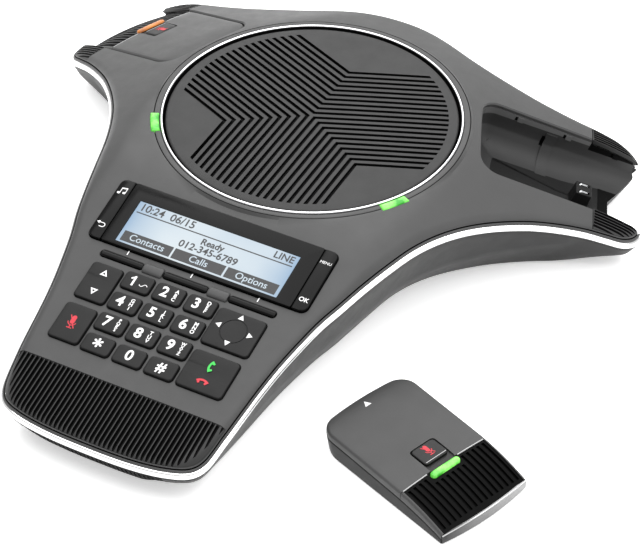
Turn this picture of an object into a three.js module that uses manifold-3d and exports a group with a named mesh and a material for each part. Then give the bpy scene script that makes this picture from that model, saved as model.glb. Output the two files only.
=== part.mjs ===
// Three-winged conference speakerphone with two detachable microphone pods.
// Millimetres, +Z up, table at z = 0. The keypad wing points along -Y, the two microphone
// wings point back left and back right; the left one holds its pod, the right dock is empty and
// its pod lies on the table in front.
import * as THREE from 'three';
import { ParametricGeometry } from 'three/addons/geometries/ParametricGeometry.js';
import { mergeVertices } from 'three/addons/utils/BufferGeometryUtils.js';
import Module from 'manifold-3d';

const wasm = await Module();
wasm.setup();

// ---------- driving dimensions ----------
const RING_Z = 60;            // chrome ring plane above the table
const RING_R = 75;            // chrome ring radius
const KEY_SLOPE = 0.25;       // fall of the keypad wing
const KEY_START = 76.1;       // where the keypad plane meets the ring plane
const MIC_SLOPE = 0.40;       // fall of a microphone wing
const MIC_CROWN = 0.0018;     // crosswise crown of a microphone wing
const MIC_ANGLE = 23.5;       // microphone wing direction above the X axis
const RIB_START_KEY = 187.5;  // ribbed grille begins, along the keypad wing
const RIB_START_MIC = 141.6;  // ribbed arm caps begin, along a microphone wing
const SKIN = 2.2;             // housing wall
const BASE_Z = 1.5;           // underside of the bottom housing
const GAP = 0.3;              // running gap between parts
const TOLERANCE = 0.03;       // flat-enough faces are joined within this
const LED_ANGLES = [-32, 212];
const POD = {
  length: 85.5, half: 26.8, corner: 9, bow: 1.2, rib: 55.4, bulge: 2.4, tilt: 20.1,
  s0: 81.35, z0: 41.7,
};
const SPEAKER = { disc: 72.6, pitch: 3.85, slot: 1.75, reach: 68.2, crown: 0.5, fall: 0.7 };

const RAD = Math.PI / 180;
const group = new THREE.Group();

// ---------- materials ----------
const paint = (color, roughness, metalness = 0) =>
  new THREE.MeshStandardMaterial({ color, roughness, metalness });
const M = {
  shell: paint(0x6a6a6a, 0.45), dark: paint(0x4b4b4b, 0.5), black: paint(0x141414, 0.45),
  key: paint(0x474747, 0.5), silver: paint(0xe2e2e2, 0.25, 0.9), chrome: paint(0xf2f2f2, 0.08, 1),
  grille: paint(0x5e5e5e, 0.5), cloth: paint(0x0b0b0b, 0.95), lcd: paint(0xdfe9f0, 0.3),
  gloss: paint(0x0d0d0d, 0.12), led: paint(0x63e04a, 0.3), amber: paint(0xd98a2b, 0.3),
  rubber: paint(0x202020, 0.9), board: paint(0x1d5a33, 0.6), steel: paint(0xb9bcc0, 0.3, 0.9),
  cone: paint(0x2a2a2a, 0.8),
};

// ---------- mesh helpers ----------
function solid(geometry) {
  const g = geometry.clone();
  for (const key of Object.keys(g.attributes)) if (key !== 'position') g.deleteAttribute(key);
  const merged = mergeVertices(g, 1e-4);
  const index = merged.index.array;
  const tris = [];
  for (let i = 0; i < index.length; i += 3) {
    const [a, b, c] = [index[i], index[i + 1], index[i + 2]];
    if (a !== b && b !== c && a !== c) tris.push(a, b, c);
  }
  const make = (t) => new wasm.Manifold(new wasm.Mesh({
    numProp: 3, vertProperties: new Float32Array(merged.attributes.position.array),
    triVerts: new Uint32Array(t),
  }));
  const m = make(tris);
  if (m.volume() > 0) return m;
  const flipped = [];
  for (let i = 0; i < tris.length; i += 3) flipped.push(tris[i], tris[i + 2], tris[i + 1]);
  return make(flipped);
}

function add(name, body, material) {
  const mesh = body.simplify(TOLERANCE).getMesh();
  const g = new THREE.BufferGeometry();
  const count = mesh.vertProperties.length / mesh.numProp;
  const pos = new Float32Array(count * 3);
  for (let i = 0; i < count; i++) {
    for (let k = 0; k < 3; k++) pos[i * 3 + k] = mesh.vertProperties[i * mesh.numProp + k];
  }
  g.setAttribute('position', new THREE.BufferAttribute(pos, 3));
  g.setIndex(new THREE.BufferAttribute(new Uint32Array(mesh.triVerts), 1));
  g.computeVertexNormals();
  const out = new THREE.Mesh(g, material);
  out.name = name;
  group.add(out);
}

const union = (list) => list.reduce((a, b) => a.add(b));
const moved = (body, matrix) => body.transform(matrix.elements);

function prism(points, z0, z1) {
  const shape = new THREE.Shape(points.map(([x, y]) => new THREE.Vector2(x, y)));
  const g = new THREE.ExtrudeGeometry(shape, { depth: z1 - z0, bevelEnabled: false });
  g.translate(0, 0, z0);
  return solid(g);
}

function box(x0, x1, y0, y1, z0, z1) {
  const g = new THREE.BoxGeometry(x1 - x0, y1 - y0, z1 - z0);
  g.translate((x0 + x1) / 2, (y0 + y1) / 2, (z0 + z1) / 2);
  return solid(g);
}

function lathe(profile, segments = 72) {
  const g = new THREE.LatheGeometry(profile.map(([r, z]) => new THREE.Vector2(r, z)), segments);
  g.rotateX(Math.PI / 2);
  return solid(g);
}

function roundedRect(x0, x1, y0, y1, r, steps = 2) {
  const pts = [];
  const centres = [[x1 - r, y1 - r, 0], [x0 + r, y1 - r, 90], [x0 + r, y0 + r, 180],
    [x1 - r, y0 + r, 270]];
  for (const [cx, cy, a0] of centres) {
    for (let i = 0; i <= steps; i++) {
      const a = (a0 + (90 * i) / steps) * RAD;
      pts.push([cx + r * Math.cos(a), cy + r * Math.sin(a)]);
    }
  }
  return pts;
}

// ---------- top surface ----------
function softMin(values, k = 1.2) {
  return -k * Math.log(values.reduce((sum, v) => sum + Math.exp(-v / k), 0));
}

function skinZ(x, y) {
  const c = Math.cos(MIC_ANGLE * RAD);
  const sn = Math.sin(MIC_ANGLE * RAD);
  const values = [0.35, -KEY_SLOPE * (-y - KEY_START), -0.25 * (y - 78)];
  for (const side of [1, -1]) {
    const s = side * x * c + y * sn;
    const t = -side * x * sn + y * c;
    values.push(-MIC_SLOPE * (s - 76) - MIC_CROWN * t * t - 0.004 * Math.max(0, s - 138) ** 2);
  }
  return RING_Z + softMin(values);
}

// ---------- plan outline, right half, from the keypad tip round to the back ----------
function wing(s, t) {
  const c = Math.cos(MIC_ANGLE * RAD);
  const sn = Math.sin(MIC_ANGLE * RAD);
  return [s * c - t * sn, s * sn + t * c];
}
const HALF = [
  [0, -218.1], [12, -218], [22.5, -217.5], [32, -216.5], [38.5, -215.3], [44, -213.5],
  [48.2, -210.8], [51.2, -207.2], [53, -203], [54, -198], [54.8, -192], [55.7, -185.5],
  [56.9, -175], [58.2, -163], [60.2, -149], [63.1, -134.7], [66.7, -120], [71, -107], [75.2, -92],
  [79.6, -76], [84.9, -58], [91, -43], [98.3, -29.4], [106.1, -17.9], [114.3, -7.7],
  wing(113, -47.7), wing(125, -43.8), wing(137, -40.9), wing(149, -39), wing(157, -37),
  wing(162.5, -32.5), wing(165.8, -25), wing(167, -13), wing(167.4, 0), wing(167, 13),
  wing(165.8, 25), wing(162.5, 32.5), wing(157, 37), wing(149, 39), wing(137, 40.9),
  wing(125, 43.8), wing(113, 47.7), wing(102, 52.6), wing(90, 58.7), wing(78, 66.2),
  wing(67, 75), [19.5, 98.6], [10, 100.4], [0, 101],
];

function outline() {
  const mirror = HALF.slice(1, -1).reverse().map(([x, y]) => [-x, y]);
  const loop = [...HALF, ...mirror].map(([x, y]) => new THREE.Vector3(x, y, 0));
  const curve = new THREE.CatmullRomCurve3(loop, true, 'centripetal');
  const fine = curve.getPoints(900).slice(0, -1);
  // keep more points where the outline turns quickly
  const weight = fine.map((p, i) => {
    const a = fine[(i + 894) % 900];
    const b = fine[(i + 6) % 900];
    const t1 = Math.atan2(p.y - a.y, p.x - a.x);
    const t2 = Math.atan2(b.y - p.y, b.x - p.x);
    const turn = Math.abs(Math.atan2(Math.sin(t2 - t1), Math.cos(t2 - t1)));
    return p.distanceTo(fine[(i + 1) % 900]) * (1 + 6 * Math.min(turn, 0.35));
  });
  const total = weight.reduce((a, b) => a + b, 0);
  const count = 88;
  const picked = [];
  let run = 0;
  let next = 0;
  fine.forEach((p, i) => {
    if (run >= next - 1e-9 && picked.length < count) {
      picked.push(p);
      next += total / count;
    }
    run += weight[i];
  });
  return picked.map((p, i) => {
    const a = picked[(i + picked.length - 1) % picked.length];
    const b = picked[(i + 1) % picked.length];
    const len = Math.hypot(b.x - a.x, b.y - a.y);
    const rho = Math.hypot(p.x, p.y);
    return { x: p.x, y: p.y, nx: (b.y - a.y) / len, ny: -(b.x - a.x) / len, rho,
      phi: Math.atan2(p.y, p.x), edge: skinZ(p.x, p.y) - 1.8 };
  });
}
const OUT = outline();

function loft(rows, points = OUT) {
  const n = points.length;
  const m = rows.length - 1;
  const g = new ParametricGeometry((u, v, target) => {
    const [x, y, z] = rows[Math.round(v * m)](points[Math.round(u * n) % n]);
    target.set(x, y, z);
  }, n, m);
  return solid(g);
}
const off = (p, o, z) => [p.x + p.nx * o, p.y + p.ny * o, z];
const insetPrism = (o, z0, z1) =>
  prism(OUT.map((p) => [p.x + p.nx * o, p.y + p.ny * o]), z0, z1);

// ---------- lower surface: crease and base lines below each outline point ----------
function smooth(a, b, x) {
  const t = Math.min(1, Math.max(0, (x - a) / (b - a)));
  return t * t * (3 - 2 * t);
}
function angleFrom(phi, deg) {
  const d = phi - deg * RAD;
  return Math.abs(Math.atan2(Math.sin(d), Math.cos(d))) / RAD;
}
function lower(p) {
  const band = p.edge - 6.7;
  const mic = Math.min(angleFrom(p.phi, MIC_ANGLE), angleFrom(p.phi, 180 - MIC_ANGLE));
  const key = angleFrom(p.phi, 270);
  const creaseZ = Math.min(20, band - 5);
  const tip = smooth(14, 6, key);
  const creaseIn = 1 + 0.3 * (band - creaseZ) - 1.3 * tip;
  const baseIn = 22 + 14 * smooth(16, 8, mic) - 13 * tip;
  const polar = (inset, z) => {
    const k = (p.rho - inset) / p.rho;
    return [p.x * k, p.y * k, z];
  };
  return { band, creaseZ, crease: polar(creaseIn, creaseZ), base: polar(baseIn, BASE_Z) };
}
const pulled = (p, [x, y], o, z) => [x - p.nx * o, y - p.ny * o, z];

// everything inside the housings, used to trim the inner parts
const inner = loft([
  () => [0, 0, 49], (p) => [76.6 * Math.cos(p.phi), 76.6 * Math.sin(p.phi), 49],
  (p) => {
    const k = 82 / p.rho;
    return [p.x * k, p.y * k, skinZ(p.x * k, p.y * k) - SKIN - 0.7];
  },
  (p) => off(p, -5, skinZ(p.x, p.y) - SKIN - 2.4), (p) => off(p, -5, lower(p).band - 1),
  (p) => pulled(p, lower(p).crease, 3, lower(p).creaseZ + 1.8),
  (p) => pulled(p, lower(p).base, 3, BASE_Z + SKIN + 0.5), () => [0, 0, BASE_Z + SKIN + 0.5],
]);

// slab from the top surface down to `depth` below it
function slab(depth, inset) {
  const ring = (k) => (p) => {
    const o = off(p, inset, 0);
    const f = 1 - k;
    return [o[0] * f, o[1] * f, skinZ(o[0] * f, o[1] * f) - (k === 0 ? 0.9 : 0)];
  };
  const steps = [0.7, 0.45, 0.3, 0.2, 0.1, 0.02, 0];
  const top = steps.map(ring);
  const low = (f) => (p) => {
    const [x, y, z] = f(p);
    return [x, y, z - depth];
  };
  const sparse = [top[1], top[3], top[6]].reverse().map(low);
  return loft([() => [0, 0, RING_Z], ...top, ...sparse, () => [0, 0, RING_Z - depth]]);
}

// ---------- docks and pods share one tilted frame ----------
function dockMatrix(deg) {
  return new THREE.Matrix4().makeRotationZ(deg * RAD)
    .multiply(new THREE.Matrix4().makeTranslation(POD.s0, 0, POD.z0))
    .multiply(new THREE.Matrix4().makeRotationY(POD.tilt * RAD));
}
function podOutline(grow, end = POD.length) {
  const h = POD.half + grow;
  const r = POD.corner + grow;
  // the inner end bows out a little between its two round corners
  const bow = (y) => -grow - POD.bow * (1 - (y / h) ** 2);
  const corner = (side) => [0, 15, 30, 45, 60, 75, 90].map((a) => {
    const y = side * (h - r + r * Math.cos(a * RAD));
    return [bow(y) + r * (1 - Math.sin(a * RAD)), y];
  });
  const pts = [...corner(1), [bow(0), 0], ...corner(-1).reverse()];
  for (let i = 0; i <= 8; i++) {
    const y = -h + (2 * h * i) / 8;
    pts.push([end - POD.bulge * (y / h) ** 2, y]);
  }
  return pts;
}
const podTop = (x, y) =>
  15 - 0.03 * x - 0.0052 * Math.max(0, x - 50) ** 2 - 1.3 * (y / POD.half) ** 2
  - 1.2 * Math.max(0, 1 - x / 9) ** 2;
const seamZ = (x) => 9.4 - 0.035 * x - 0.0035 * Math.max(0, x - 50) ** 2;

function slabBetween(low, high) {
  const g = new THREE.BoxGeometry(92, 60, 2, 8, 6, 1);
  const at = g.attributes.position;
  for (let i = 0; i < at.count; i++) {
    const x = at.getX(i) + 42;
    const y = at.getY(i);
    at.setX(i, x);
    at.setZ(i, at.getZ(i) > 0 ? high(x, y) : low(x, y));
  }
  return solid(g);
}

const DOCK_SIDES = [['right', MIC_ANGLE], ['left', 180 - MIC_ANGLE]];
const fingerNotch = [[72, -6], [72, 6], [87, 25.5], [110, 25.5], [110, -25.5], [87, -25.5]];

// ---------- keypad plane frame: u across, v up the slope, w out of the surface ----------
const KEY_TILT = Math.atan(KEY_SLOPE);
function keyMatrix(x, s) {
  return new THREE.Matrix4()
    .makeTranslation(x, -s, RING_Z - KEY_SLOPE * (s - KEY_START))
    .multiply(new THREE.Matrix4().makeRotationX(KEY_TILT));
}
const onKeys = (body, x, s) => moved(body, keyMatrix(x, s));
const run = (ds) => ds / Math.cos(KEY_TILT);

// ---------- top housing ----------
const around = (r, z) => (p) => [r * Math.cos(p.phi), r * Math.sin(p.phi), z];
const between = (f, drop, o = -5) => (p) => {
  const a = [80.4 * Math.cos(p.phi), 80.4 * Math.sin(p.phi)];
  const b = off(p, o, 0);
  const x = a[0] + (b[0] - a[0]) * f;
  const y = a[1] + (b[1] - a[1]) * f;
  return [x, y, skinZ(x, y) - drop];
};
const topRows = [
  around(76.5, 51), around(76.5, 60.2), around(79.3, 60.2), around(79.5, 58.9),
  around(80.1, 58.9), between(0, 0), ...[0.2, 0.55, 1].map((f) => between(f, 0)),
  (p) => off(p, -1.6, skinZ(p.x, p.y) - 0.65), (p) => off(p, 0, p.edge),
  (p) => off(p, 0.3, p.edge - 1.1), (p) => off(p, 0.8, p.edge - 0.5),
  (p) => off(p, 1.5, p.edge - 1.4), (p) => off(p, 1.6, p.edge - 2.4),
  (p) => off(p, -1.9, p.edge - 2.4), (p) => off(p, -3.6, skinZ(p.x, p.y) - SKIN - 1.1),
  between(1, SKIN + 0.1), between(0.55, SKIN), between(0.2, SKIN), around(78.7, 57),
  around(78.7, 51), around(76.5, 51),
];
let top = loft(topRows);

const DIAL = ['one', 'two', 'three', 'four', 'five', 'six', 'seven', 'eight', 'nine', 'star',
  'zero', 'hash'];
const COLS = [-21.4, -4.3, 12.8];
const ROWS = [135.3, 147.6, 159.9, 172.2];
const keys = DIAL.map((name, i) => ({
  name: `key_${name}`, x: COLS[i % 3], s: ROWS[Math.floor(i / 3)], w: 15, h: 9.6, r: 1.2,
  rise: 1.6,
}));
keys.push(
  { name: 'volume_rocker', x: -38.7, s: 142.2, w: 16.2, h: 21, r: 1.4, rise: 1.6 },
  { name: 'mute_key', x: -38.7, s: 166.3, w: 16.2, h: 20.4, r: 1.4, rise: 1.6 },
  { name: 'navigation_pad', x: 34.3, s: 142.2, w: 24.8, h: 21, r: 1.4, rise: 1.6 },
  { name: 'talk_end_rocker', x: 34.2, s: 166.5, w: 24, h: 20.8, r: 1.4, rise: 1.6 },
  { name: 'softkey_left', x: -35.4, s: 126.1, w: 23, h: 3.4, r: 1.5, rise: 1.2 },
  { name: 'softkey_middle', x: -0.6, s: 126.1, w: 23.6, h: 3.4, r: 1.5, rise: 1.2 },
  { name: 'softkey_right', x: 35.2, s: 126.1, w: 24.6, h: 3.4, r: 1.5, rise: 1.2 },
);

for (const k of keys) {
  const hole = prism(roundedRect(-k.w / 2 - GAP, k.w / 2 + GAP, -k.h / 2 - GAP, k.h / 2 + GAP,
    k.r + GAP), -4, 4);
  top = top.subtract(onKeys(hole, k.x, k.s));
}

// display window: bezel plate with an LCD opening, and a rocker strip at each side
const BEZEL = { x0: -50.6, x1: 52.2, s: 102.6, h: 36.4 };
const STRIPS = [['menu_ok_rocker', 52.6, 60], ['tune_back_rocker', -58.4, -51]];
top = top.subtract(onKeys(prism(roundedRect(-58.7, 60.3, -18.6, 18.6, 3.5), -4, 5), 0, 102.6));

// ribbed microphone grille at the keypad tip
const grilleField = insetPrism(-0.35, 0, 80)
  .intersect(box(-90, 90, -230, -RIB_START_KEY, 0, 80));
top = top.subtract(grilleField);

// dock openings with ribbed arm ends
const micField = (deg, start) => insetPrism(-0.35, 0, 80).intersect(
  moved(box(start, 185, -60, 60, 0, 80), new THREE.Matrix4().makeRotationZ(deg * RAD)));
for (const [, deg] of DOCK_SIDES) {
  top = top.subtract(micField(deg, RIB_START_MIC));
  top = top.subtract(moved(prism(podOutline(0.7, 120), -8, 60), dockMatrix(deg)));
}

// light pipe seats in the ring collar
function arcPill(r0, r1, deg, half, z0, z1) {
  const pts = [];
  for (let i = 0; i <= 6; i++) {
    const a = (deg - half + (2 * half * i) / 6) * RAD;
    pts.push([r1 * Math.cos(a), r1 * Math.sin(a)]);
  }
  for (let i = 6; i >= 0; i--) {
    const a = (deg - half + (2 * half * i) / 6) * RAD;
    pts.push([r0 * Math.cos(a), r0 * Math.sin(a)]);
  }
  return prism(pts, z0, z1);
}
for (const deg of LED_ANGLES) top = top.subtract(arcPill(77.1, 80.3, deg, 6, 57.2, 70));
add('top_housing', top, M.shell);

LED_ANGLES.forEach((deg, i) => {
  add(`status_light_${['right', 'left'][i]}`,
    arcPill(77.4, 80, deg, 5.7, 57.5, 61), M.led);
});

// ---------- bottom housing ----------
let bottom = loft([
  () => [0, 0, BASE_Z], (p) => lower(p).base, (p) => lower(p).crease,
  (p) => off(p, 1.2, lower(p).band), (p) => off(p, -1.6, lower(p).band),
  (p) => pulled(p, lower(p).crease, SKIN, lower(p).creaseZ + 1.2),
  (p) => pulled(p, lower(p).base, SKIN, BASE_Z + SKIN), () => [0, 0, BASE_Z + SKIN],
]);
const noseField = box(-38, 38, -230, -193, 4.4, 40);
for (const [, deg] of DOCK_SIDES) {
  const m = dockMatrix(deg);
  bottom = bottom.subtract(moved(prism(podOutline(2.4, 120), -2.2, 40), m));
  bottom = bottom.subtract(moved(prism(fingerNotch, -14, 20), m));
}
bottom = bottom.subtract(noseField);

// connector recess in the back wall
bottom = bottom.subtract(box(-24, 24, 70, 110, 24.7, 41.3));
add('bottom_housing', bottom, M.dark);

// black ribbed nose under the keypad tip
let nose = loft([
  () => [0, -190, BASE_Z + 3.2], (p) => pulled(p, lower(p).base, 0.2, BASE_Z + 3.2),
  (p) => pulled(p, lower(p).crease, 0.2, lower(p).creaseZ), (p) => off(p, 0.6, lower(p).band + 0.1),
  () => [0, -190, 16],
]).intersect(box(-37.7, 37.7, -230, -193.3, 4.7, 40));
for (let i = -9; i <= 9; i++) {
  nose = nose.subtract(box(i * 3.9 - 0.6, i * 3.9 + 0.6, -230, -206, 5.6, 13.5));
}
add('front_nose_grille', nose, M.black);

// ---------- silver band, in a front and a back run between the open dock ends ----------
const bandRows = [[1.2, -2.65], [2.3, -3.6], [2.2, -5.4], [1.3, -6.4], [-0.8, -6.4],
  [-0.8, -2.65], [1.2, -2.65]].map(([o, dz]) => (p) => off(p, o, p.edge + dz));
let band = loft(bandRows);
for (const [, deg] of DOCK_SIDES) {
  band = band.subtract(moved(prism(podOutline(2.4, 120), -8, 60), dockMatrix(deg)));
}
const parts = band.decompose();
parts.sort((a, b) => a.boundingBox().min[1] - b.boundingBox().min[1]);
add('silver_band_front', parts[0], M.silver);
add('silver_band_back', parts[1], M.silver);

// ---------- speaker ----------
add('speaker_ring', lathe([[73.4, 52], [76.1, 52], [76.1, 60.2], [75.2, 60.8], [74.3, 60.2],
  [74.3, 53.6], [73.4, 53.6], [73.4, 52]], 48), M.chrome);

const domeZ = (r) => RING_Z + SPEAKER.crown - SPEAKER.fall * (r / RING_R) ** 2;
const domeSteps = [0, 26, 50, SPEAKER.disc];
let disc = lathe([...domeSteps.map((r) => [r, domeZ(r)]),
  ...domeSteps.slice().reverse().map((r) => [r, domeZ(r) - 1.8])], 30);
// the slots run along the three wings, so the bends open differently at the back and at the front
const frontRay = (MIC_ANGLE - 90) / 2;
const backHalf = 90 - MIC_ANGLE;
const frontHalf = (90 + MIC_ANGLE) / 2;
for (const [ray, half] of [[frontRay, frontHalf], [90, backHalf], [180 - frontRay, frontHalf]]) {
  const leg = half * RAD;
  for (let i = 0; i < 10; i++) {
    const d = (i + 0.5) * SPEAKER.pitch;
    const w = SPEAKER.slot / 2;
    // each chevron: two legs leaving its bend either side of the ray
    const legTo = (q) => Math.sqrt(SPEAKER.reach ** 2 - q * q);
    const pts = [];
    const corner = (q) => [q / Math.sin(leg), 0];
    const end = (q, sgn) => {
      const along = legTo(q);
      const a = sgn * leg;
      return [along * Math.cos(a) + q * Math.sin(leg), along * Math.sin(a) - sgn * q * Math.cos(leg)];
    };
    pts.push(end(d + w, -1), corner(d + w), end(d + w, 1), end(d - w, 1), corner(d - w),
      end(d - w, -1));
    disc = disc.subtract(moved(prism(pts.reverse(), 40, 70),
      new THREE.Matrix4().makeRotationZ(ray * RAD)));
  }
}
add('speaker_grille', disc, M.grille);

add('grille_cloth', lathe([[0, 52.6], [70.8, 52.6], [70.8, 51.9], [0, 51.9]], 48), M.cloth);
add('driver_cone', lathe([[0, 37], [14, 37], [20, 38], [52, 48.4], [58, 49.6], [58, 50.4],
  [51, 49.4], [19, 39.4], [12, 41], [0, 42]], 32), M.cone);
add('driver_frame', lathe([[0, 9], [32, 9], [32, 25], [16, 26], [16, 30], [40, 33], [60, 47.6],
  [66, 47.6], [66, 50.6], [59.6, 50.6], [59.6, 49], [38, 35.4], [12, 32.4], [12, 36.2],
  [0, 36.2]], 32), M.steel);

// ---------- display ----------
const bezel = prism(roundedRect(BEZEL.x0, BEZEL.x1, -18.2, 18.2, 1), -1.6, 1.6)
  .subtract(prism(roundedRect(-43.8, 43.8, -16.1, 9.3, 0.6), -4, 4));
add('display_bezel', onKeys(bezel, 0, BEZEL.s), M.gloss);
add('lcd_module', onKeys(box(-48, 48, -17.6, 12, -5.2, -1.9)
  .add(box(-43.4, 43.4, -15.7, 8.9, -2, 0.6)), 0, BEZEL.s), M.lcd);
for (const [name, x0, x1] of STRIPS) {
  add(name, onKeys(prism(roundedRect(x0, x1, -18.2, 18.2, 2.6), -3.4, 1.6), 0, BEZEL.s), M.gloss);
}

// ---------- keys ----------
for (const k of keys) {
  const body = prism(roundedRect(-k.w / 2, k.w / 2, -k.h / 2, k.h / 2, k.r), -4.2, k.rise - 0.5)
    .add(prism(roundedRect(-k.w / 2 + 0.5, k.w / 2 - 0.5, -k.h / 2 + 0.5, k.h / 2 - 0.5,
      k.r - 0.3), -4.2, k.rise));
  const lip = box(-k.w / 2 - 0.7, k.w / 2 + 0.7, -k.h / 2 - 0.7, k.h / 2 + 0.7, -4.2, -2.9);
  add(k.name, onKeys(body.add(lip), k.x, k.s), k.name.startsWith('soft') ? M.black : M.key);
}
add('keypad_mat', onKeys(prism(roundedRect(-48.5, 48.5, -29.2, 29.2, 3), -7.2, -5.8), 0, 152.8),
  M.rubber);
add('main_board', onKeys(prism(roundedRect(-46, 46, -45, 45, 3), -9.6, -8), 0, 136), M.board);

// ---------- ribbed grille at the keypad tip ----------
let front = slab(3, -0.7).intersect(box(-90, 90, -230, -RIB_START_KEY - 0.3, 0, 80));
for (let i = -14; i <= 13; i++) {
  const x = (i + 0.5) * 3.9;
  front = front.subtract(onKeys(box(x - 0.75, x + 0.75, -26.5, -0.9, -0.9, 4), 0, 187.5));
}
add('front_mic_grille', front, M.black);

// ---------- dock trays with ribbed arm ends, and their contacts ----------
for (const [side, deg] of DOCK_SIDES) {
  const m = dockMatrix(deg);
  const turn = new THREE.Matrix4().makeRotationZ(deg * RAD);
  const hollow = moved(prism(podOutline(0.5, 120), -0.5, 60), m);
  const notch = moved(prism(fingerNotch, -14, 20), m);
  const shellBody = moved(prism(podOutline(1.9, POD.length + 0.5), -1.7, 30), m)
    .intersect(inner.add(moved(box(142.2, 164.6, -34, 34, 8.5, 42), turn)))
    .intersect(slab(60, -0.9)).intersect(insetPrism(-1.5, 0, 80));
  const caps = slab(1.4, -0.7).add(slab(4.6, -0.7).intersect(insetPrism(-2.3, 0, 80)))
    .intersect(moved(box(RIB_START_MIC + 0.4, 185, -60, 60, 0, 80), turn));
  let tray = shellBody.add(caps).subtract(hollow).subtract(notch);
  for (const sgn of [1, -1]) {
    for (let i = 0; i < 3; i++) {
      const y = sgn * (30.2 + i * 2.7);
      for (const [x0, x1, z] of [[60.9, 68, 10.4 - i * 0.3], [67, 76, 9.7 - i * 0.3]]) {
        tray = tray.subtract(moved(box(x0, x1, y - 0.55, y + 0.55, z, 30), m));
      }
    }
  }
  const block = moved(prism(roundedRect(56, 64.4, -4.6, 4.6, 0.8), -0.6, 0.9), m);
  tray = tray.add(block).subtract(moved(
    union([1, -1].map((g) => box(57.4, 63, g * 2.8 - 0.9, g * 2.8 + 0.9, -4, 4))), m));
  const bodies = tray.decompose().sort((a, b) => b.volume() - a.volume());
  add(`dock_tray_${side}`, bodies[0], M.black);
  const strip = box(57.7, 62.7, -3.4, 3.4, -3.2, -2.2);
  const pins = union([1, -1].map((g) => box(57.7, 62.7, g * 2.8 - 0.6, g * 2.8 + 0.6, -3, 1.1)));
  add(`charge_contacts_${side}`, moved(strip.add(pins), m), M.steel);
}

// ---------- microphone pods ----------
function buildPod(label, matrix, lightMaterial) {
  const topSlab = slabBetween((x) => seamZ(x) + 0.25, podTop);
  const lowSlab = slabBetween(() => 0, seamZ);
  const plan = prism(podOutline(0), -5, 40);
  const inner = prism(podOutline(4, POD.length - 1.8), -5, 40);
  const button = roundedRect(41.2, 54.6, -7.9, 7.9, 1.6);
  const buttonHole = roundedRect(40.9, 54.9, -8.2, 8.2, 1.9);
  const light = roundedRect(56.5, 60.1, -8.8, 8.8, 1.7);
  const lightHole = roundedRect(56.2, 60.4, -9.1, 9.1, 2);
  const place = (name, body, material) => add(`pod_${label}_${name}`, moved(body, matrix), material);
  const cavity = slabBetween(() => 3.4, (x, y) => podTop(x, y) - 2)
    .intersect(prism(podOutline(-1.8, POD.length - 8), -5, 40));
  place('cover', topSlab.intersect(plan).intersect(box(-5, POD.rib - 0.15, -40, 40, -5, 40))
    .subtract(cavity).subtract(prism(buttonHole, 9, 30)), M.shell);
  let ribs = topSlab.intersect(plan).intersect(box(POD.rib + 0.15, 90, -40, 40, -5, 40)).intersect(inner)
    .subtract(cavity).subtract(prism(lightHole, 9, 30));
  for (let i = -6; i <= 6; i++) {
    const y = i * 3.9;
    const start = Math.abs(y) < 10 ? 62 : POD.rib + 1.4;
    const tool = slabBetween((x, yy) => podTop(x, yy) - 0.9, () => 30)
      .intersect(box(start, 81.2, y - 0.7, y + 0.7, -5, 40));
    ribs = ribs.subtract(tool);
  }
  place('mic_grille', ribs, M.black);
  place('base', lowSlab.intersect(plan).intersect(inner)
    .subtract(cavity).subtract(prism(roundedRect(55.4, 65, -5.2, 5.2, 1), -2, 1.6)), M.dark);
  place('mute_button', slabBetween(() => 10.2, (x, y) => podTop(x, y) + 0.5)
    .intersect(prism(button, 5, 40)), M.black);
  place('light_bar', slabBetween(() => 9.8, (x, y) => podTop(x, y) + 0.3)
    .intersect(prism(light, 5, 40)), lightMaterial);
  place('end_trim', slabBetween(() => 0.8, (x, y) => podTop(x, y) - 0.3)
    .intersect(prism(podOutline(-0.2, POD.length), -5, 40))
    .intersect(box(70, 90, -26, 26, -5, 40))
    .subtract(prism(podOutline(4, POD.length - 1.5), -6, 41)), M.silver);
}
buildPod('docked', dockMatrix(180 - MIC_ANGLE), M.amber);
buildPod('free', new THREE.Matrix4().makeTranslation(92.5, -125.3, 0.05)
  .multiply(new THREE.Matrix4().makeRotationZ(-20.5 * RAD)), M.led);

// ---------- connectors and feet ----------
add('rear_connectors', box(-23.6, 23.6, 78, 90.2, 25, 41).subtract(box(-19, -6, 84, 100, 28, 38.6))
  .subtract(box(-2, 8, 84, 100, 29, 37.6))
  .subtract(moved(solid(new THREE.CylinderGeometry(3.2, 3.2, 12, 20)),
    new THREE.Matrix4().makeTranslation(16, 90, 33.4))), M.black);
[-30, 90, 210].forEach((deg, i) => {
  const foot = lathe([[0, 0], [8.6, 0], [9, 0.4], [9, 1.2], [0, 1.2]], 20);
  add(`foot_${['right', 'back', 'left'][i]}`, moved(foot, new THREE.Matrix4()
    .makeTranslation(62 * Math.cos(deg * RAD), 62 * Math.sin(deg * RAD), 0)), M.rubber);
});
const frontFoot = prism(roundedRect(-26, 26, -4, 4, 3.6), 0, 1.2);
add('foot_front', moved(frontFoot, new THREE.Matrix4().makeTranslation(0, -178, 0)), M.rubber);

export default group;
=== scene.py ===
import math

import bpy
import numpy as np
from mathutils import Matrix, Vector


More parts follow.
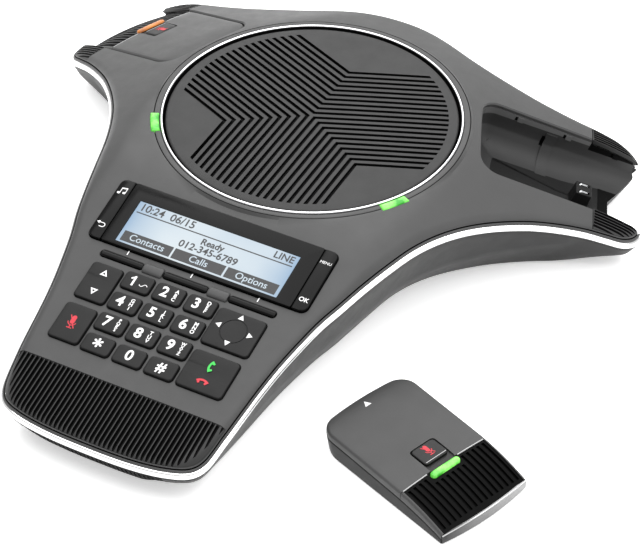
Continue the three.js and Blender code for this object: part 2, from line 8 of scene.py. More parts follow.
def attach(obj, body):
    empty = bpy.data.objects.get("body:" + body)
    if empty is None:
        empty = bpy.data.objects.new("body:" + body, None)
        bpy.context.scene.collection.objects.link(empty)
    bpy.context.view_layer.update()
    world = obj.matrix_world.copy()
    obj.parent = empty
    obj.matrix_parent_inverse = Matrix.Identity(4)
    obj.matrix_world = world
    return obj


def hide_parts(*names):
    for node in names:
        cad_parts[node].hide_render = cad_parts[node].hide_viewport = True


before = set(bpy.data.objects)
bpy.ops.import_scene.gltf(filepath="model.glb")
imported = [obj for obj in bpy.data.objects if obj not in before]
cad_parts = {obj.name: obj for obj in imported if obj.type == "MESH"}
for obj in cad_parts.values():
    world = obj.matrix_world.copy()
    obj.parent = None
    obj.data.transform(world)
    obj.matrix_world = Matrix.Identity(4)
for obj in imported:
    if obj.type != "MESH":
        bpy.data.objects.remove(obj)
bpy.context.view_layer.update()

# Looks of the three-winged conference speakerphone. Shapes are worked out in millimetres in the
# CAD frame (+Z up, table at z = 0, keypad wing along -Y) and scaled to metres when a piece is made.
MM = 0.001

# ---------- driving dimensions, the same as the CAD's ----------
RING_Z = 60.0
KEY_SLOPE = 0.25
KEY_START = 76.1
MIC_ANGLE = 23.5
RIB_START_KEY = 187.5
RIB_START_MIC = 141.6
SKIN = 2.2
ROLL_WIDTH, ROLL_DROP = 3.4, 1.8
BASE_Z = 1.5
GAP = 0.3
LED_ANGLES = {"right": -32, "left": 212}
POD_LENGTH = 85.5
POD_HALF = 26.8
POD_CORNER = 9.0
POD_BOW = 1.2
POD_RIB = 55.4
POD_BULGE = 2.4
DOCK_OUT, DOCK_UP, DOCK_TILT = 81.35, 41.7, 20.1
WELL_X, WELL_Y = 48.2, -0.2
LAMP_X, LAMP_Y = 57.6, -0.9
DISC_R = 73.3
SLOT_PITCH = 3.85
SLOT_WIDTH = 1.9
SLOT_REACH = 68.2


# ---------- shapes: points, faces and a material number for each face ----------
def shape(points, faces, mats=None):
    return {"v": np.asarray(points, float), "f": [tuple(f) for f in faces],
            "m": list(mats) if mats is not None else [0] * len(faces)}


def volume(s):
    total = 0.0
    v = s["v"]
    for f in s["f"]:
        a = v[f[0]]
        for i in range(1, len(f) - 1):
            total += np.dot(a, np.cross(v[f[i]], v[f[i + 1]]))
    return total / 6


def outward(s):
    if volume(s) < 0:
        s["f"] = [f[::-1] for f in s["f"]]
    return s


def join(*shapes):
    v, f, m, start = [], [], [], 0
    for s in shapes:
        v.append(s["v"])
        f += [tuple(i + start for i in face) for face in s["f"]]
        m += s["m"]
        start += len(s["v"])
    return shape(np.concatenate(v), f, m)


def moved(s, matrix):
    a = np.array(matrix)
    return shape(s["v"] @ a[:3, :3].T + a[:3, 3], s["f"], s["m"])


def painted(s, number):
    return shape(s["v"], s["f"], [number] * len(s["f"]))


def loft(rows, wrap=False, mats=None, fan=False):
    """A closed skin through rings of points. wrap joins the last ring to the first; otherwise
    each end is closed by a flat face, or by a fan round its middle."""
    rows = [np.asarray(r, float) for r in rows]
    m, n = len(rows), len(rows[0])
    points = [np.concatenate(rows)]
    faces, kinds = [], []
    for i in range(m if wrap else m - 1):
        a, b = i * n, ((i + 1) % m) * n
        for j in range(n):
            q = (j + 1) % n
            faces.append((a + j, a + q, b + q, b + j))
            kinds.append(mats[i] if mats else 0)
    if not wrap:
        first, last = list(range(n)), [(m - 1) * n + j for j in range(n)]
        if fan:
            points.append(np.array([rows[0].mean(0), rows[-1].mean(0)]))
            for j in range(n):
                q = (j + 1) % n
                faces += [(m * n, first[q], first[j]), (m * n + 1, last[j], last[q])]
                kinds += [kinds[0], kinds[-1]]
        else:
            faces += [tuple(first[::-1]), tuple(last)]
            kinds += [kinds[0], kinds[-1]]
    return outward(shape(np.concatenate(points), faces, kinds))


def lathe(profile, segments=192, mats=None):
    """A ring turned about Z from a closed profile of (radius, height)."""
    a = np.linspace(0, 2 * math.pi, segments, endpoint=False)
    rows = [np.stack([r * np.cos(a), r * np.sin(a), np.full(segments, z)], 1) for r, z in profile]
    return loft(rows, wrap=True, mats=mats)


def turned(profile, segments=96, mats=None):
    """A solid turned about Z from a profile that runs from one end of the axis to the other."""
    a = np.linspace(0, 2 * math.pi, segments, endpoint=False)
    rows = [np.stack([r * np.cos(a), r * np.sin(a), np.full(segments, z)], 1) for r, z in profile]
    return loft(rows, mats=mats, fan=True)


def ring_at(points, z):
    points = np.asarray(points, float)
    return np.column_stack([points, np.full(len(points), z)])


def prism(points, z0, z1):
    return loft([ring_at(points, z0), ring_at(points, z1)])


def box(x0, x1, y0, y1, z0, z1):
    return prism([(x0, y0), (x1, y0), (x1, y1), (x0, y1)], z0, z1)


def arc(r, a0, a1, steps, cx=0.0, cy=0.0):
    """Points round part of a circle, from angle a0 to a1 in degrees."""
    angles = [math.radians(a0 + (a1 - a0) * i / steps) for i in range(steps + 1)]
    return [(cx + r * math.cos(a), cy + r * math.sin(a)) for a in angles]


def sector(r0, r1, a0, a1, steps):
    """The outline of part of a flat ring."""
    return arc(r1, a0, a1, steps) + arc(r0, a0, a1, steps)[::-1]


def rounded(w, h, r, steps=6, cx=0.0, cy=0.0):
    """Rounded rectangle of width w and height h about (cx, cy)."""
    r = max(0.05, min(r, w / 2 - 0.01, h / 2 - 0.01))
    pts = []
    for sx, sy, a0 in ((1, 1, 0), (-1, 1, 90), (-1, -1, 180), (1, -1, 270)):
        pts += arc(r, a0, a0 + 90, steps, cx + sx * (w / 2 - r), cy + sy * (h / 2 - r))
    return pts


def stack(w, h, r, levels, cx=0.0, cy=0.0, steps=6):
    """A block of rounded rectangles; levels are (height, growth on every side)."""
    return loft([ring_at(rounded(w + 2 * d, h + 2 * d, r + d, steps, cx, cy), z) for z, d in levels])


def cap_block(w, h, r, z0, top, bevel, crown, cx=0.0, cy=0.0):
    """A key cap: straight walls, a rounded top edge, and a top that rises by crown in its middle."""
    rows = [ring_at(rounded(w, h, r, 6, cx, cy), z) for z in (z0, top - bevel - crown)]
    for i in range(1, 5):
        a = math.radians(90 * i / 4)
        d = bevel * (1 - math.cos(a))
        rows.append(ring_at(rounded(w - 2 * d, h - 2 * d, r - d * 0.6, 6, cx, cy),
                            top - crown - bevel * (1 - math.sin(a))))
    for f in (0.75, 0.5, 0.25, 0.04):
        q = 1 - f
        rows.append(ring_at(rounded((w - 2 * bevel) * f, (h - 2 * bevel) * f, r * f, 6, cx, cy),
                            top - crown * (1 - q * (2 - q))))
    return loft(rows)


def temp_object(s):
    mesh = bpy.data.meshes.new("temp")
    mesh.from_pydata(s["v"].tolist(), [], s["f"])
    for _ in range(4):
        mesh.materials.append(None)
    mesh.polygons.foreach_set("material_index", s["m"])
    o = bpy.data.objects.new("temp", mesh)
    bpy.context.scene.collection.objects.link(o)
    return o


def carve(a, b, operation="DIFFERENCE"):
    """a minus b, or their union or intersection."""
    oa, ob = temp_object(a), temp_object(b)
    cut = oa.modifiers.new("cut", "BOOLEAN")
    cut.solver, cut.operation, cut.object = "MANIFOLD", operation, ob
    bpy.context.view_layer.update()
    mesh = bpy.data.meshes.new_from_object(oa.evaluated_get(bpy.context.evaluated_depsgraph_get()))
    out = shape([tuple(v.co) for v in mesh.vertices], [tuple(p.vertices) for p in mesh.polygons],
                [p.material_index for p in mesh.polygons])
    for o in (oa, ob):
        data = o.data
        bpy.data.objects.remove(o)
        bpy.data.meshes.remove(data)
    bpy.data.meshes.remove(mesh)
    return out


def union(*shapes):
    out = shapes[0]
    for s in shapes[1:]:
        out = carve(out, s, "UNION")
    return out


def piece(name, s, materials, body="base", replaces=(), angle=32):
    """Makes the mesh object, smooth except across edges sharper than angle, riding on a body."""
    mesh = bpy.data.meshes.new(name)
    mesh.from_pydata((s["v"] * MM).tolist(), [], s["f"])
    materials = materials if isinstance(materials, (list, tuple)) else [materials]
    for m in materials:
        mesh.materials.append(m)
    mesh.polygons.foreach_set("material_index", [min(k, len(materials) - 1) for k in s["m"]])
    mesh.shade_smooth()
    mesh.set_sharp_from_angle(angle=math.radians(angle))
    mesh.validate()
    o = bpy.data.objects.new(name, mesh)
    bpy.context.scene.collection.objects.link(o)
    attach(o, body)
    if replaces:
        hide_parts(*replaces)
    return o


# ---------- materials ----------
def linear(code):
    """An sRGB hex colour as linear RGBA."""
    values = [int(code[i:i + 2], 16) / 255 for i in (0, 2, 4)]
    return (*[c / 12.92 if c <= 0.04045 else ((c + 0.055) / 1.055) ** 2.4 for c in values], 1.0)


class Nodes:
    """A small helper that adds shader nodes and joins them."""

    def __init__(self, name):
        self.material = bpy.data.materials.new(name)
        self.material.use_nodes = True
        self.tree = self.material.node_tree
        self.shader = self.tree.nodes["Principled BSDF"]
        self.place = self.add("ShaderNodeTexCoord").outputs["Object"]

    def add(self, kind, **values):
        node = self.tree.nodes.new(kind)
        for key, value in values.items():
            if key in node.inputs:
                node.inputs[key].default_value = value
            else:
                setattr(node, key, value)
        return node

    def link(self, a, b):
        self.tree.links.new(a, b)

    def feed(self, source, name):
        """Joins a node's output to an input of the surface shader."""
        self.link(source, self.shader.inputs[name])

    def fix(self, name, value):
        """Sets an input of the surface shader to a constant."""
        self.shader.inputs[name].default_value = value

    def noise(self, scale, detail=2.0, roughness=0.5):
        node = self.add("ShaderNodeTexNoise", Scale=scale, Detail=detail, Roughness=roughness)
        self.link(self.place, node.inputs["Vector"])
        return node.outputs["Fac"]

    def ramp(self, fac, low, high, a=0.3, b=0.7):
        node = self.add("ShaderNodeMapRange")
        node.inputs["From Min"].default_value = a
        node.inputs["From Max"].default_value = b
        node.inputs["To Min"].default_value = low
        node.inputs["To Max"].default_value = high
        self.link(fac, node.inputs["Value"])
        return node.outputs["Result"]

    def mix(self, fac, a, b):
        node = self.add("ShaderNodeMix", data_type="RGBA")
        node.inputs[6].default_value = a
        node.inputs[7].default_value = b
        self.link(fac, node.inputs[0])
        return node.outputs[2]

    def bump(self, *layers):
        """Stacks bumps: each layer is (height, strength, distance in metres)."""
        normal = None
        for height, strength, distance in layers:
            node = self.add("ShaderNodeBump", Strength=strength, Distance=distance)
            self.link(height, node.inputs["Height"])
            if normal is not None:
                self.link(normal, node.inputs["Normal"])
            normal = node.outputs["Normal"]
        self.feed(normal, "Normal")


def shade(color, k):
    return (*[min(1.0, c * k) for c in color[:3]], 1.0)


def moulded(name, code, rough, grain, spec=0.5, size=2600):
    """Moulded plastic: fine eroded grain, soft flow marks, and a handled, slightly uneven sheen."""
    n = Nodes(name)
    color = linear(code)
    cloud = n.noise(38, 4.0, 0.6)
    n.feed(n.mix(n.ramp(cloud, 0.0, 1.0), shade(color, 0.94), shade(color, 1.06)), "Base Color")
    n.feed(n.ramp(n.noise(120, 5.0, 0.65), rough - 0.04, rough + 0.05), "Roughness")
    n.bump((n.noise(18, 2.0), 0.10, 0.0006), (n.noise(size, 2.0, 0.7), grain, 0.00004))
    n.fix("Specular IOR Level", spec)
    return n.material


def metal(name, code, rough):
    """Plated or anodised metal with hairline unevenness."""
    n = Nodes(name)
    color = linear(code)
    n.feed(n.mix(n.noise(60, 3.0), shade(color, 0.97), shade(color, 1.02)), "Base Color")
    n.feed(n.ramp(n.noise(300, 4.0, 0.6), rough * 0.8, rough * 1.25), "Roughness")
    n.bump((n.noise(900, 2.0), 0.04, 0.00002))
    n.fix("Metallic", 1.0)
    return n.material


def painted_reflection_metal(name, dark, light, rough):
    """Brushed metal painted darker at one end of its piece and lighter at the other: a painted reflection."""
    n = Nodes(name)
    split = n.add("ShaderNodeSeparateXYZ")
    n.link(n.add("ShaderNodeTexCoord").outputs["Generated"], split.inputs[0])
    n.feed(n.mix(n.ramp(split.outputs[0], 0.0, 1.0, 0.1, 1.0), linear(dark), linear(light)), "Base Color")
    n.feed(n.ramp(n.noise(300, 4.0), rough * 0.8, rough * 1.25), "Roughness")
    n.bump((n.noise(900, 2.0), 0.04, 0.00002))
    n.fix("Metallic", 1.0)
    return n.material


def glow(name, code, bright, strength):
    """A lit translucent light pipe, with brighter and dimmer patches at random."""
    n = Nodes(name)
    a, b = linear(code), linear(bright)
    color = n.mix(n.ramp(n.noise(160, 2.0), 0.0, 1.0), a, b)
    n.feed(color, "Base Color")
    n.feed(color, "Emission Color")
    n.fix("Emission Strength", strength)
    n.feed(n.ramp(n.noise(700, 2.0), 0.3, 0.4), "Roughness")
    n.bump((n.noise(1500, 2.0), 0.1, 0.00003))
    return n.material


def ink(name, code, rough=0.5, painted_glow=0.0):
    """Printed ink, a little uneven in cover. The last argument makes the print glow faintly: a painted glow
    on keys, shell, pod and plate, where no lamp lies behind. On the screen's words it stands in for the
    backlight.
    """
    n = Nodes(name)
    color = linear(code)
    n.feed(n.mix(n.noise(900, 3.0), shade(color, 0.93), shade(color, 1.0)), "Base Color")
    n.feed(n.ramp(n.noise(1500, 2.0), rough - 0.06, rough + 0.06), "Roughness")
    n.bump((n.noise(3000, 2.0), 0.15, 0.00002))
    if painted_glow:
        n.fix("Emission Color", color)
        n.fix("Emission Strength", painted_glow)
    return n.material


def woven(name, code):
    """Acoustic cloth: two crossed sets of threads."""
    n = Nodes(name)
    color = linear(code)
    waves = []
    for direction in ("X", "Y"):
        wave = n.add("ShaderNodeTexWave", bands_direction=direction, Scale=900.0, Distortion=0.4)
        n.link(n.place, wave.inputs["Vector"])
        waves.append(wave.outputs["Fac"])
    weave = n.add("ShaderNodeMath", operation="MULTIPLY")
    n.link(waves[0], weave.inputs[0])
    n.link(waves[1], weave.inputs[1])
    n.feed(n.mix(weave.outputs[0], shade(color, 0.5), shade(color, 1.6)), "Base Color")
    n.fix("Roughness", 0.95)
    n.bump((weave.outputs[0], 0.6, 0.0002))
    return n.material


SHELL = moulded("shell_grey", "3a3a3a", 0.46, 0.30, 0.33)
LOWER = moulded("lower_grey", "222222", 0.48, 0.30, 0.25)
POD_SIDE = moulded("pod_base_grey", "1c1c1c", 0.48, 0.30, 0.3)
KEY = moulded("key_grey", "1a1a1a", 0.45, 0.30, 0.18, size=3200)
# The upper band of the dock wall is painted lighter than the shell: painted light on the lit lip.
LIP_PAINTED_LIGHT = moulded("dock_lip_painted_light", "5a5a5a", 0.46, 0.30, 0.35)
TRAY = moulded("tray_grey", "2e2e2e", 0.50, 0.35, 0.3)
# The bay's floor and the contact stand are painted darker than the tray: painted shade at the bottom of the
# bay.
BAY_FLOOR_SHADE = moulded("tray_floor_painted_shade", "101010", 0.55, 0.35, 0.2)
BLACK = moulded("satin_black", "0c0c0c", 0.42, 0.25, 0.3)
RIBS = moulded("rib_black", "050505", 0.5, 0.2, 0.05)
# Rib crests are painted lighter than the black ribs: a painted highlight along each crest.
RIB_CREST_HIGHLIGHT = moulded("rib_crest_painted_highlight", "2a2a2a", 0.45, 0.2, 0.25)
# Near black painted into grooves, slots, holes, the ring's gap and the pod seam: painted shade.
GROOVE_SHADE = moulded("groove_painted_shade", "020202", 0.8, 0.2, 0.1)
DISC = moulded("speaker_paint", "282828", 0.5, 0.35, 0.25, size=2000)
GLOSS = moulded("gloss_black", "060606", 0.16, 0.03, 0.12)
RUBBER = moulded("rubber_black", "161616", 0.85, 0.5, 0.2)
BOARD = moulded("board_green", "1d5a33", 0.45, 0.3)
CONE = moulded("pulp_cone", "161616", 0.9, 0.8, 0.2, size=1200)
SILVER = metal("silver_trim", "f0f0f0", 0.16)
# The pod trim's face is painted darker than the silver and graded along the piece: painted shade and painted
# reflection.
TRIM_PAINTED_REFLECTION = painted_reflection_metal("pod_trim_painted_reflection", "3a3a3a", "8c8c8c", 0.34)
CHROME = metal("chrome_ring", "f4f4f6", 0.07)
STEEL = metal("plated_steel", "c8c9cb", 0.25)
GOLD = metal("contact_gold", "d8b56a", 0.25)
CLOTH = woven("acoustic_cloth", "0c0c0c")
GREEN = glow("green_light", "1a8010", "84e264", 0.75)
AMBER = glow("amber_light", "7a4210", "c0762c", 0.35)
# The last number of each ink is its painted glow.
WHITE_INK = ink("white_ink", "dcdcdc", 0.45, 0.1)
RED_INK = ink("red_ink", "b00c24", 0.45, 0.25)
GREEN_INK = ink("green_ink", "1fa83a", 0.45, 0.3)
GREY_INK = ink("grey_ink", "9aa6ae", 0.5, 0.15)
# A light grey line painted along edges: a painted highlight.
PAINTED_HIGHLIGHT_LINE = ink("painted_highlight_line", "a8a8a8", 0.4)
LCD_INK = ink("lcd_segments", "0a0c10", 0.35)


# ---------- top surface ----------
def soft_min(values):
    """The least of the values, with the creases between them rounded off."""
    return -1.2 * np.log(sum(np.exp(-v / 1.2) for v in values))


def skin_z(x, y):
    """Height of the top surface: a flat crown, the keypad slope, a back slope and two wing falls."""
    x, y = np.asarray(x, float), np.asarray(y, float)
    c, sn = math.cos(math.radians(MIC_ANGLE)), math.sin(math.radians(MIC_ANGLE))
    values = [np.full(np.broadcast(x, y).shape, 0.35), -KEY_SLOPE * (-y - KEY_START), -0.25 * (y - 78)]
    for side in (1, -1):
        s = side * x * c + y * sn
        t = -side * x * sn + y * c
        values.append(-0.40 * (s - 76) - 0.0018 * t * t - 0.004 * np.maximum(0, s - 138) ** 2)
    return RING_Z + soft_min(values)


def wing(s, t):
    c, sn = math.cos(math.radians(MIC_ANGLE)), math.sin(math.radians(MIC_ANGLE))
    return (s * c - t * sn, s * sn + t * c)


# plan outline, right half, from the keypad tip round to the back
HALF = [
    (0, -218.1), (12, -218), (22.5, -217.5), (32, -216.5), (38.5, -215.3), (44, -213.5), (48.2, -210.8),
    (51.2, -207.2), (53, -203), (54, -198), (54.8, -192), (55.7, -185.5), (56.9, -175),
    (58.2, -163), (60.2, -149), (63.1, -134.7), (66.7, -120), (71, -107), (75.2, -92),
    (79.6, -76), (84.9, -58), (91, -43), (98.3, -29.4), (106.1, -17.9), (114.3, -7.7),
    wing(113, -47.7), wing(125, -43.8), wing(137, -40.9), wing(149, -39), wing(157, -37),
    wing(162.5, -32.5), wing(165.8, -25), wing(167, -13), wing(167.4, 0), wing(167, 13),
    wing(165.8, 25), wing(162.5, 32.5), wing(157, 37), wing(149, 39), wing(137, 40.9),
    wing(125, 43.8), wing(113, 47.7), wing(102, 52.6), wing(90, 58.7), wing(78, 66.2),
    wing(67, 75), (19.5, 98.6), (10, 100.4), (0, 101),
]


def smooth_loop(points, per_span):
    """A closed centripetal Catmull-Rom curve through the points."""
    p = np.asarray(points, float)
    out = []
    for i in range(len(p)):
        p0, p1, p2, p3 = p[i - 1], p[i], p[(i + 1) % len(p)], p[(i + 2) % len(p)]
        d0, d1, d2 = (math.sqrt(np.linalg.norm(b - a)) for a, b in ((p0, p1), (p1, p2), (p2, p3)))
        t1 = ((p1 - p0) / d0 - (p2 - p0) / (d0 + d1) + (p2 - p1) / d1) * d1
        t2 = ((p2 - p1) / d1 - (p3 - p1) / (d1 + d2) + (p3 - p2) / d2) * d1
        for k in range(per_span):
            u = k / per_span
            out.append(p1 + t1 * u + (-3 * p1 + 3 * p2 - 2 * t1 - t2) * u ** 2
                       + (2 * p1 - 2 * p2 + t1 + t2) * u ** 3)
    return np.array(out)


class Outline:
    """The plan outline, sampled finely, closest together where it turns."""

    def __init__(self, count=640):
        loop = smooth_loop(HALF + [(-x, y) for x, y in HALF[-2:0:-1]], 80)
        step = np.linalg.norm(np.roll(loop, -1, 0) - loop, axis=1)
        ahead, behind = np.roll(loop, -24, 0) - loop, loop - np.roll(loop, 24, 0)
        turn = np.abs(np.angle((ahead[:, 0] + 1j * ahead[:, 1]) / (behind[:, 0] + 1j * behind[:, 1])))
        run = np.concatenate([[0], np.cumsum(step * (1 + 5 * np.minimum(turn, 0.35)))])
        want = np.linspace(0, run[-1], count, endpoint=False)
        closed = np.vstack([loop, loop[:1]])
        self.x, self.y = (np.interp(want, run, closed[:, k]) for k in (0, 1))
        dx, dy = (np.roll(a, -1) - np.roll(a, 1) for a in (self.x, self.y))
        length = np.hypot(dx, dy)
        self.nx, self.ny = dy / length, -dx / length
        self.rho, self.phi = np.hypot(self.x, self.y), np.arctan2(self.y, self.x)
        self.edge = skin_z(self.x, self.y) - ROLL_DROP

    def off(self, o, z):
        return np.column_stack([self.x + self.nx * o, self.y + self.ny * o, np.broadcast_to(z, self.x.shape)])

    def skin(self, o, drop=0.0):
        x, y = self.x + self.nx * o, self.y + self.ny * o
        return np.column_stack([x, y, skin_z(x, y) - drop])


OUT = Outline()


def around(r, z):
    return np.column_stack([r * np.cos(OUT.phi), r * np.sin(OUT.phi), np.full(len(OUT.phi), z)])


def between(f, drop):
    """A ring of the surface, part way from the collar to just inside the outline."""
    a, b = around(80.6, 0), OUT.off(-5.0, 0)
    p = a + (b - a) * f
    return np.column_stack([p[:, 0], p[:, 1], skin_z(p[:, 0], p[:, 1]) - drop])


def edge_roll(o):
    """How far the surface has rolled down at o outside the outline (o is negative inside)."""
    t = min(1.0, max(0.0, (o + ROLL_WIDTH) / ROLL_WIDTH))
    return ROLL_DROP * (1 - (1 - t ** 1.7) ** (1 / 1.7))


def plane_matrix(x, s):
    """Keypad frame: u across, v up the slope, w out of the surface."""
    tilt = math.atan(KEY_SLOPE)
    return Matrix.Translation((x, -s, RING_Z - KEY_SLOPE * (s - KEY_START))) @ Matrix.Rotation(tilt, 4, "X")


def dock_matrix(deg):
    return (Matrix.Rotation(math.radians(deg), 4, "Z") @ Matrix.Translation((DOCK_OUT, 0, DOCK_UP))
            @ Matrix.Rotation(math.radians(DOCK_TILT), 4, "Y"))


DOCKS = {"right": MIC_ANGLE, "left": 180 - MIC_ANGLE}


def pod_outline(grow, end, corner=POD_CORNER):
    """Plan of a pod, grown outward: bowed inner end, round inner corners, bowed outer end."""
    h, r = POD_HALF + grow, max(1.0, corner + grow)

    def inner_x(y):
        return -grow - POD_BOW * (1 - (y / h) ** 2)
    turn = [math.radians(90 * i / 12) for i in range(13)]
    bend = [(h - r + r * math.cos(a), r * (1 - math.sin(a))) for a in turn]
    side = np.linspace(end - POD_BULGE, r, 24)[1:-1]
    pts = [(x, h) for x in side] + [(inner_x(y) + dx, y) for y, dx in bend]
    pts += [(inner_x(y), y) for y in np.linspace(h - r, r - h, 14)[1:-1]]
    pts += [(inner_x(y) + dx, -y) for y, dx in bend[::-1]] + [(x, -h) for x in side[::-1]]
    for i in range(29):
        y = -h + 2 * h * i / 28
        pts.append((end - POD_BULGE * (y / h) ** 2, y))
    return pts


FINGER_NOTCH = [(76, -4.4), (76, 4.4), (89.5, 27), (110, 27), (110, -27), (89.5, -27)]


def skin_in_dock(deg, x, y):
    """Height of the top surface in a dock's frame, at local x, y."""
    a, tilt = math.radians(deg), math.radians(DOCK_TILT)
    x, y = np.asarray(x, float), np.asarray(y, float)
    z = np.full(x.shape, 10.0)
    for _ in range(12):
        out = DOCK_OUT + x * math.cos(tilt) + z * math.sin(tilt)
        up = DOCK_UP - x * math.sin(tilt) + z * math.cos(tilt)
        z = z - (up - skin_z(out * math.cos(a) - y * math.sin(a), out * math.sin(a) + y * math.cos(a)))
    return z


def dock_cutter(deg, grow, low, chamfer=0.0):
    """What a dock takes away from the parts round it, with a chamfer along the top surface."""
    def ring(g, z_of):
        pts = np.array(pod_outline(g, 120))
        return np.column_stack([pts, z_of(pts[:, 0], pts[:, 1]) + 0 * pts[:, 0]])
    rows = [ring(grow, lambda x, y: low)]
    if chamfer:
        rows.append(ring(grow, lambda x, y: skin_in_dock(deg, x, y) - chamfer))
        rows.append(ring(grow + chamfer + 2, lambda x, y: skin_in_dock(deg, x, y) + 2))
    rows.append(ring(grow + (chamfer + 2 if chamfer else 0), lambda x, y: 60.0))
    return moved(loft(rows), dock_matrix(deg))


def outline_block(o, z0, z1):
    return loft([OUT.off(o, z0), OUT.off(o, z1)], fan=True)


def tip_field(o):
    """The ribbed field at the keypad tip, o outside the outline."""
    return carve(outline_block(o, 0, 80), box(-90, 90, -230, -RIB_START_KEY, -5, 85), "INTERSECT")


def arm_field(deg, start, o):
    turn = Matrix.Rotation(math.radians(deg), 4, "Z")
    return carve(outline_block(o, 0, 80), moved(box(start, 185, -60, 60, -5, 85), turn), "INTERSECT")


# ---------- keys ----------
DIAL = ["one", "two", "three", "four", "five", "six", "seven", "eight", "nine", "star", "zero", "hash"]
COLS = (-21.4, -4.3, 12.8)
ROWS = (135.3, 147.6, 159.9, 172.2)
KEYS = {f"key_{n}": (COLS[i % 3], ROWS[i // 3], 15, 9.6, 1.9) for i, n in enumerate(DIAL)}
KEYS.update({
    "volume_rocker": (-38.7, 142.2, 16.2, 21, 2.0), "mute_key": (-38.7, 166.3, 16.2, 20.4, 2.0),
    "navigation_pad": (34.3, 142.2, 24.8, 21, 2.0), "talk_end_rocker": (34.2, 166.5, 24, 20.8, 2.0),
})
SOFTKEYS = {"softkey_left": (-35.4, 23), "softkey_middle": (-0.6, 23.6), "softkey_right": (35.2, 24.6)}
SOFT_S, SOFT_H = 126.1, 3.4
BEZEL_S = 102.6


def flared_hole(w, h, r):
    """A cutter for a key hole whose rim is chamfered."""
    return stack(w, h, r, ((-4, 0), (-0.35, 0), (0, 0.35), (1, 1.35)))


def build_top_shell():
    collar = ((75.95, 51), (75.95, 59.6), (76.2, 60.05), (76.9, 60.22), (78.2, 60.28), (78.75, 60.2),
              (78.95, 60.0), (79.0, 59.3), (79.28, 59.3), (79.35, 60.05))
    rows = [around(r, z) for r, z in collar] + [between(0, 0.05)]
    steps = np.linspace(0, 1, 30)[1:]
    rows += [between(f, 0) for f in steps]
    rolls = (-4.2, -3.4, -2.8, -2.2, -1.7, -1.2, -0.8, -0.45, -0.2, 0.0)
    rows += [OUT.skin(o, edge_roll(o)) for o in rolls]
    groove_from = len(rows) - 1
    rows += [OUT.off(0.05, OUT.edge - 1.4), OUT.off(0.4, OUT.edge - 1.4), OUT.off(0.43, OUT.edge - 0.6)]
    lip = ((0.55, -0.48), (0.8, -0.55), (1.1, -0.8), (1.25, -1.15), (1.3, -1.6))
    rows += [OUT.off(o, OUT.edge + dz) for o, dz in lip]
    rows += [OUT.off(-1.9, OUT.edge - 1.75), OUT.skin(-3.6, SKIN + 1.1), between(1, SKIN + 0.1),
             between(0.55, SKIN), between(0.2, SKIN), around(78.7, 57), around(78.7, 51)]
    # The collar groove and the edge groove take the near-black groove material: painted shade.
    kinds = [0] * len(rows)
    for i in (6, 7, 8, groove_from, groove_from + 1, groove_from + 2):
        kinds[i] = 1
    top = loft(rows, wrap=True, mats=kinds)
    holes = [moved(flared_hole(w + 2 * GAP, h + 2 * GAP, r + GAP), plane_matrix(x, s))
             for x, s, w, h, r in KEYS.values()]
    holes += [moved(flared_hole(w + 2 * GAP, SOFT_H + 2 * GAP, 1.8), plane_matrix(x, SOFT_S))
              for x, w in SOFTKEYS.values()]
    window = stack(119, 37.2, 3.8, ((-4, 0), (-0.3, 0), (0, 0.3), (3, 3.3)), steps=8)
    holes.append(moved(window, plane_matrix(0.8, BEZEL_S)))
    top = carve(top, painted(join(*holes), 0))
    top = carve(top, tip_field(-0.3))
    for deg in DOCKS.values():
        top = carve(top, arm_field(deg, RIB_START_MIC, -0.3))
        top = carve(top, dock_cutter(deg, 0.6, -8, 0.7))
    seats = [prism(sector(76.3, 80.9, deg - 5.3, deg + 5.3, 16), 57.2, 62) for deg in LED_ANGLES.values()]
    top = carve(top, join(*seats))
    piece("top_shell", top, [SHELL, GROOVE_SHADE], replaces=["top_housing"], angle=28)


def build_status_lights():
    for side, deg in LED_ANGLES.items():
        rows = []
        for z, inset in ((57.5, 0), (60.1, 0), (60.6, 0.2), (60.9, 0.6), (61.05, 1.2)):
            half = 5.2 - math.degrees(inset / 78.7)
            rows.append(ring_at(sector(76.45 + inset, 80.75 - inset, deg - half, deg + half, 20), z))
        piece(f"light_pipe_{side}", loft(rows), GREEN, replaces=[f"status_light_{side}"])


# ---------- lower housing ----------
def smooth(a, b, x):
    t = np.clip((x - a) / (b - a), 0, 1)
    return t * t * (3 - 2 * t)


def angle_from(deg):
    d = OUT.phi - math.radians(deg)
    return np.degrees(np.abs(np.arctan2(np.sin(d), np.cos(d))))


def lower_lines():
    band = OUT.edge - 6.7
    mic = np.minimum(angle_from(MIC_ANGLE), angle_from(180 - MIC_ANGLE))
    crease_z = np.minimum(20, band - 5)
    tip = smooth(14, 6, angle_from(270))
    crease_in = 1 + 0.3 * (band - crease_z) - 1.3 * tip
    base_in = 22 + 14 * smooth(16, 8, mic) - 13 * tip

    def polar(inset, z):
        k = (OUT.rho - inset) / OUT.rho
        return np.column_stack([OUT.x * k, OUT.y * k, np.broadcast_to(z, OUT.x.shape)])
    return OUT.off(1.2, band), polar(crease_in, crease_z), polar(base_in, BASE_Z)


def pulled(rows, o, dz):
    return rows + np.column_stack([-OUT.nx * o, -OUT.ny * o, np.full(len(OUT.x), dz)])


def lower_rows():
    """Rings of the outer surface from the base centre up to the band, with soft corners."""
    band, crease, base = lower_lines()
    centre = np.array([0, 0, BASE_Z])

    def corner(a, b, c, share):
        p, q = b + (a - b) * share, b + (c - b) * share
        blends = ((0.64, 0.32, 0.04), (0.3, 0.4, 0.3), (0.04, 0.32, 0.64))
        return [p] + [i * p + j * b + k * q for i, j, k in blends] + [q]
    flat = centre + (base - centre) * 0.9
    rows = [centre + (base - centre) * f for f in (0.15, 0.5)]
    rows += corner(flat, base, crease, 0.16)
    rows += [base + (crease - base) * f for f in (0.4, 0.65)]
    rows += corner(base, crease, band, 0.14)
    rows += [crease + (band - crease) * f for f in (0.35, 0.6, 0.85)]
    return rows + [band]


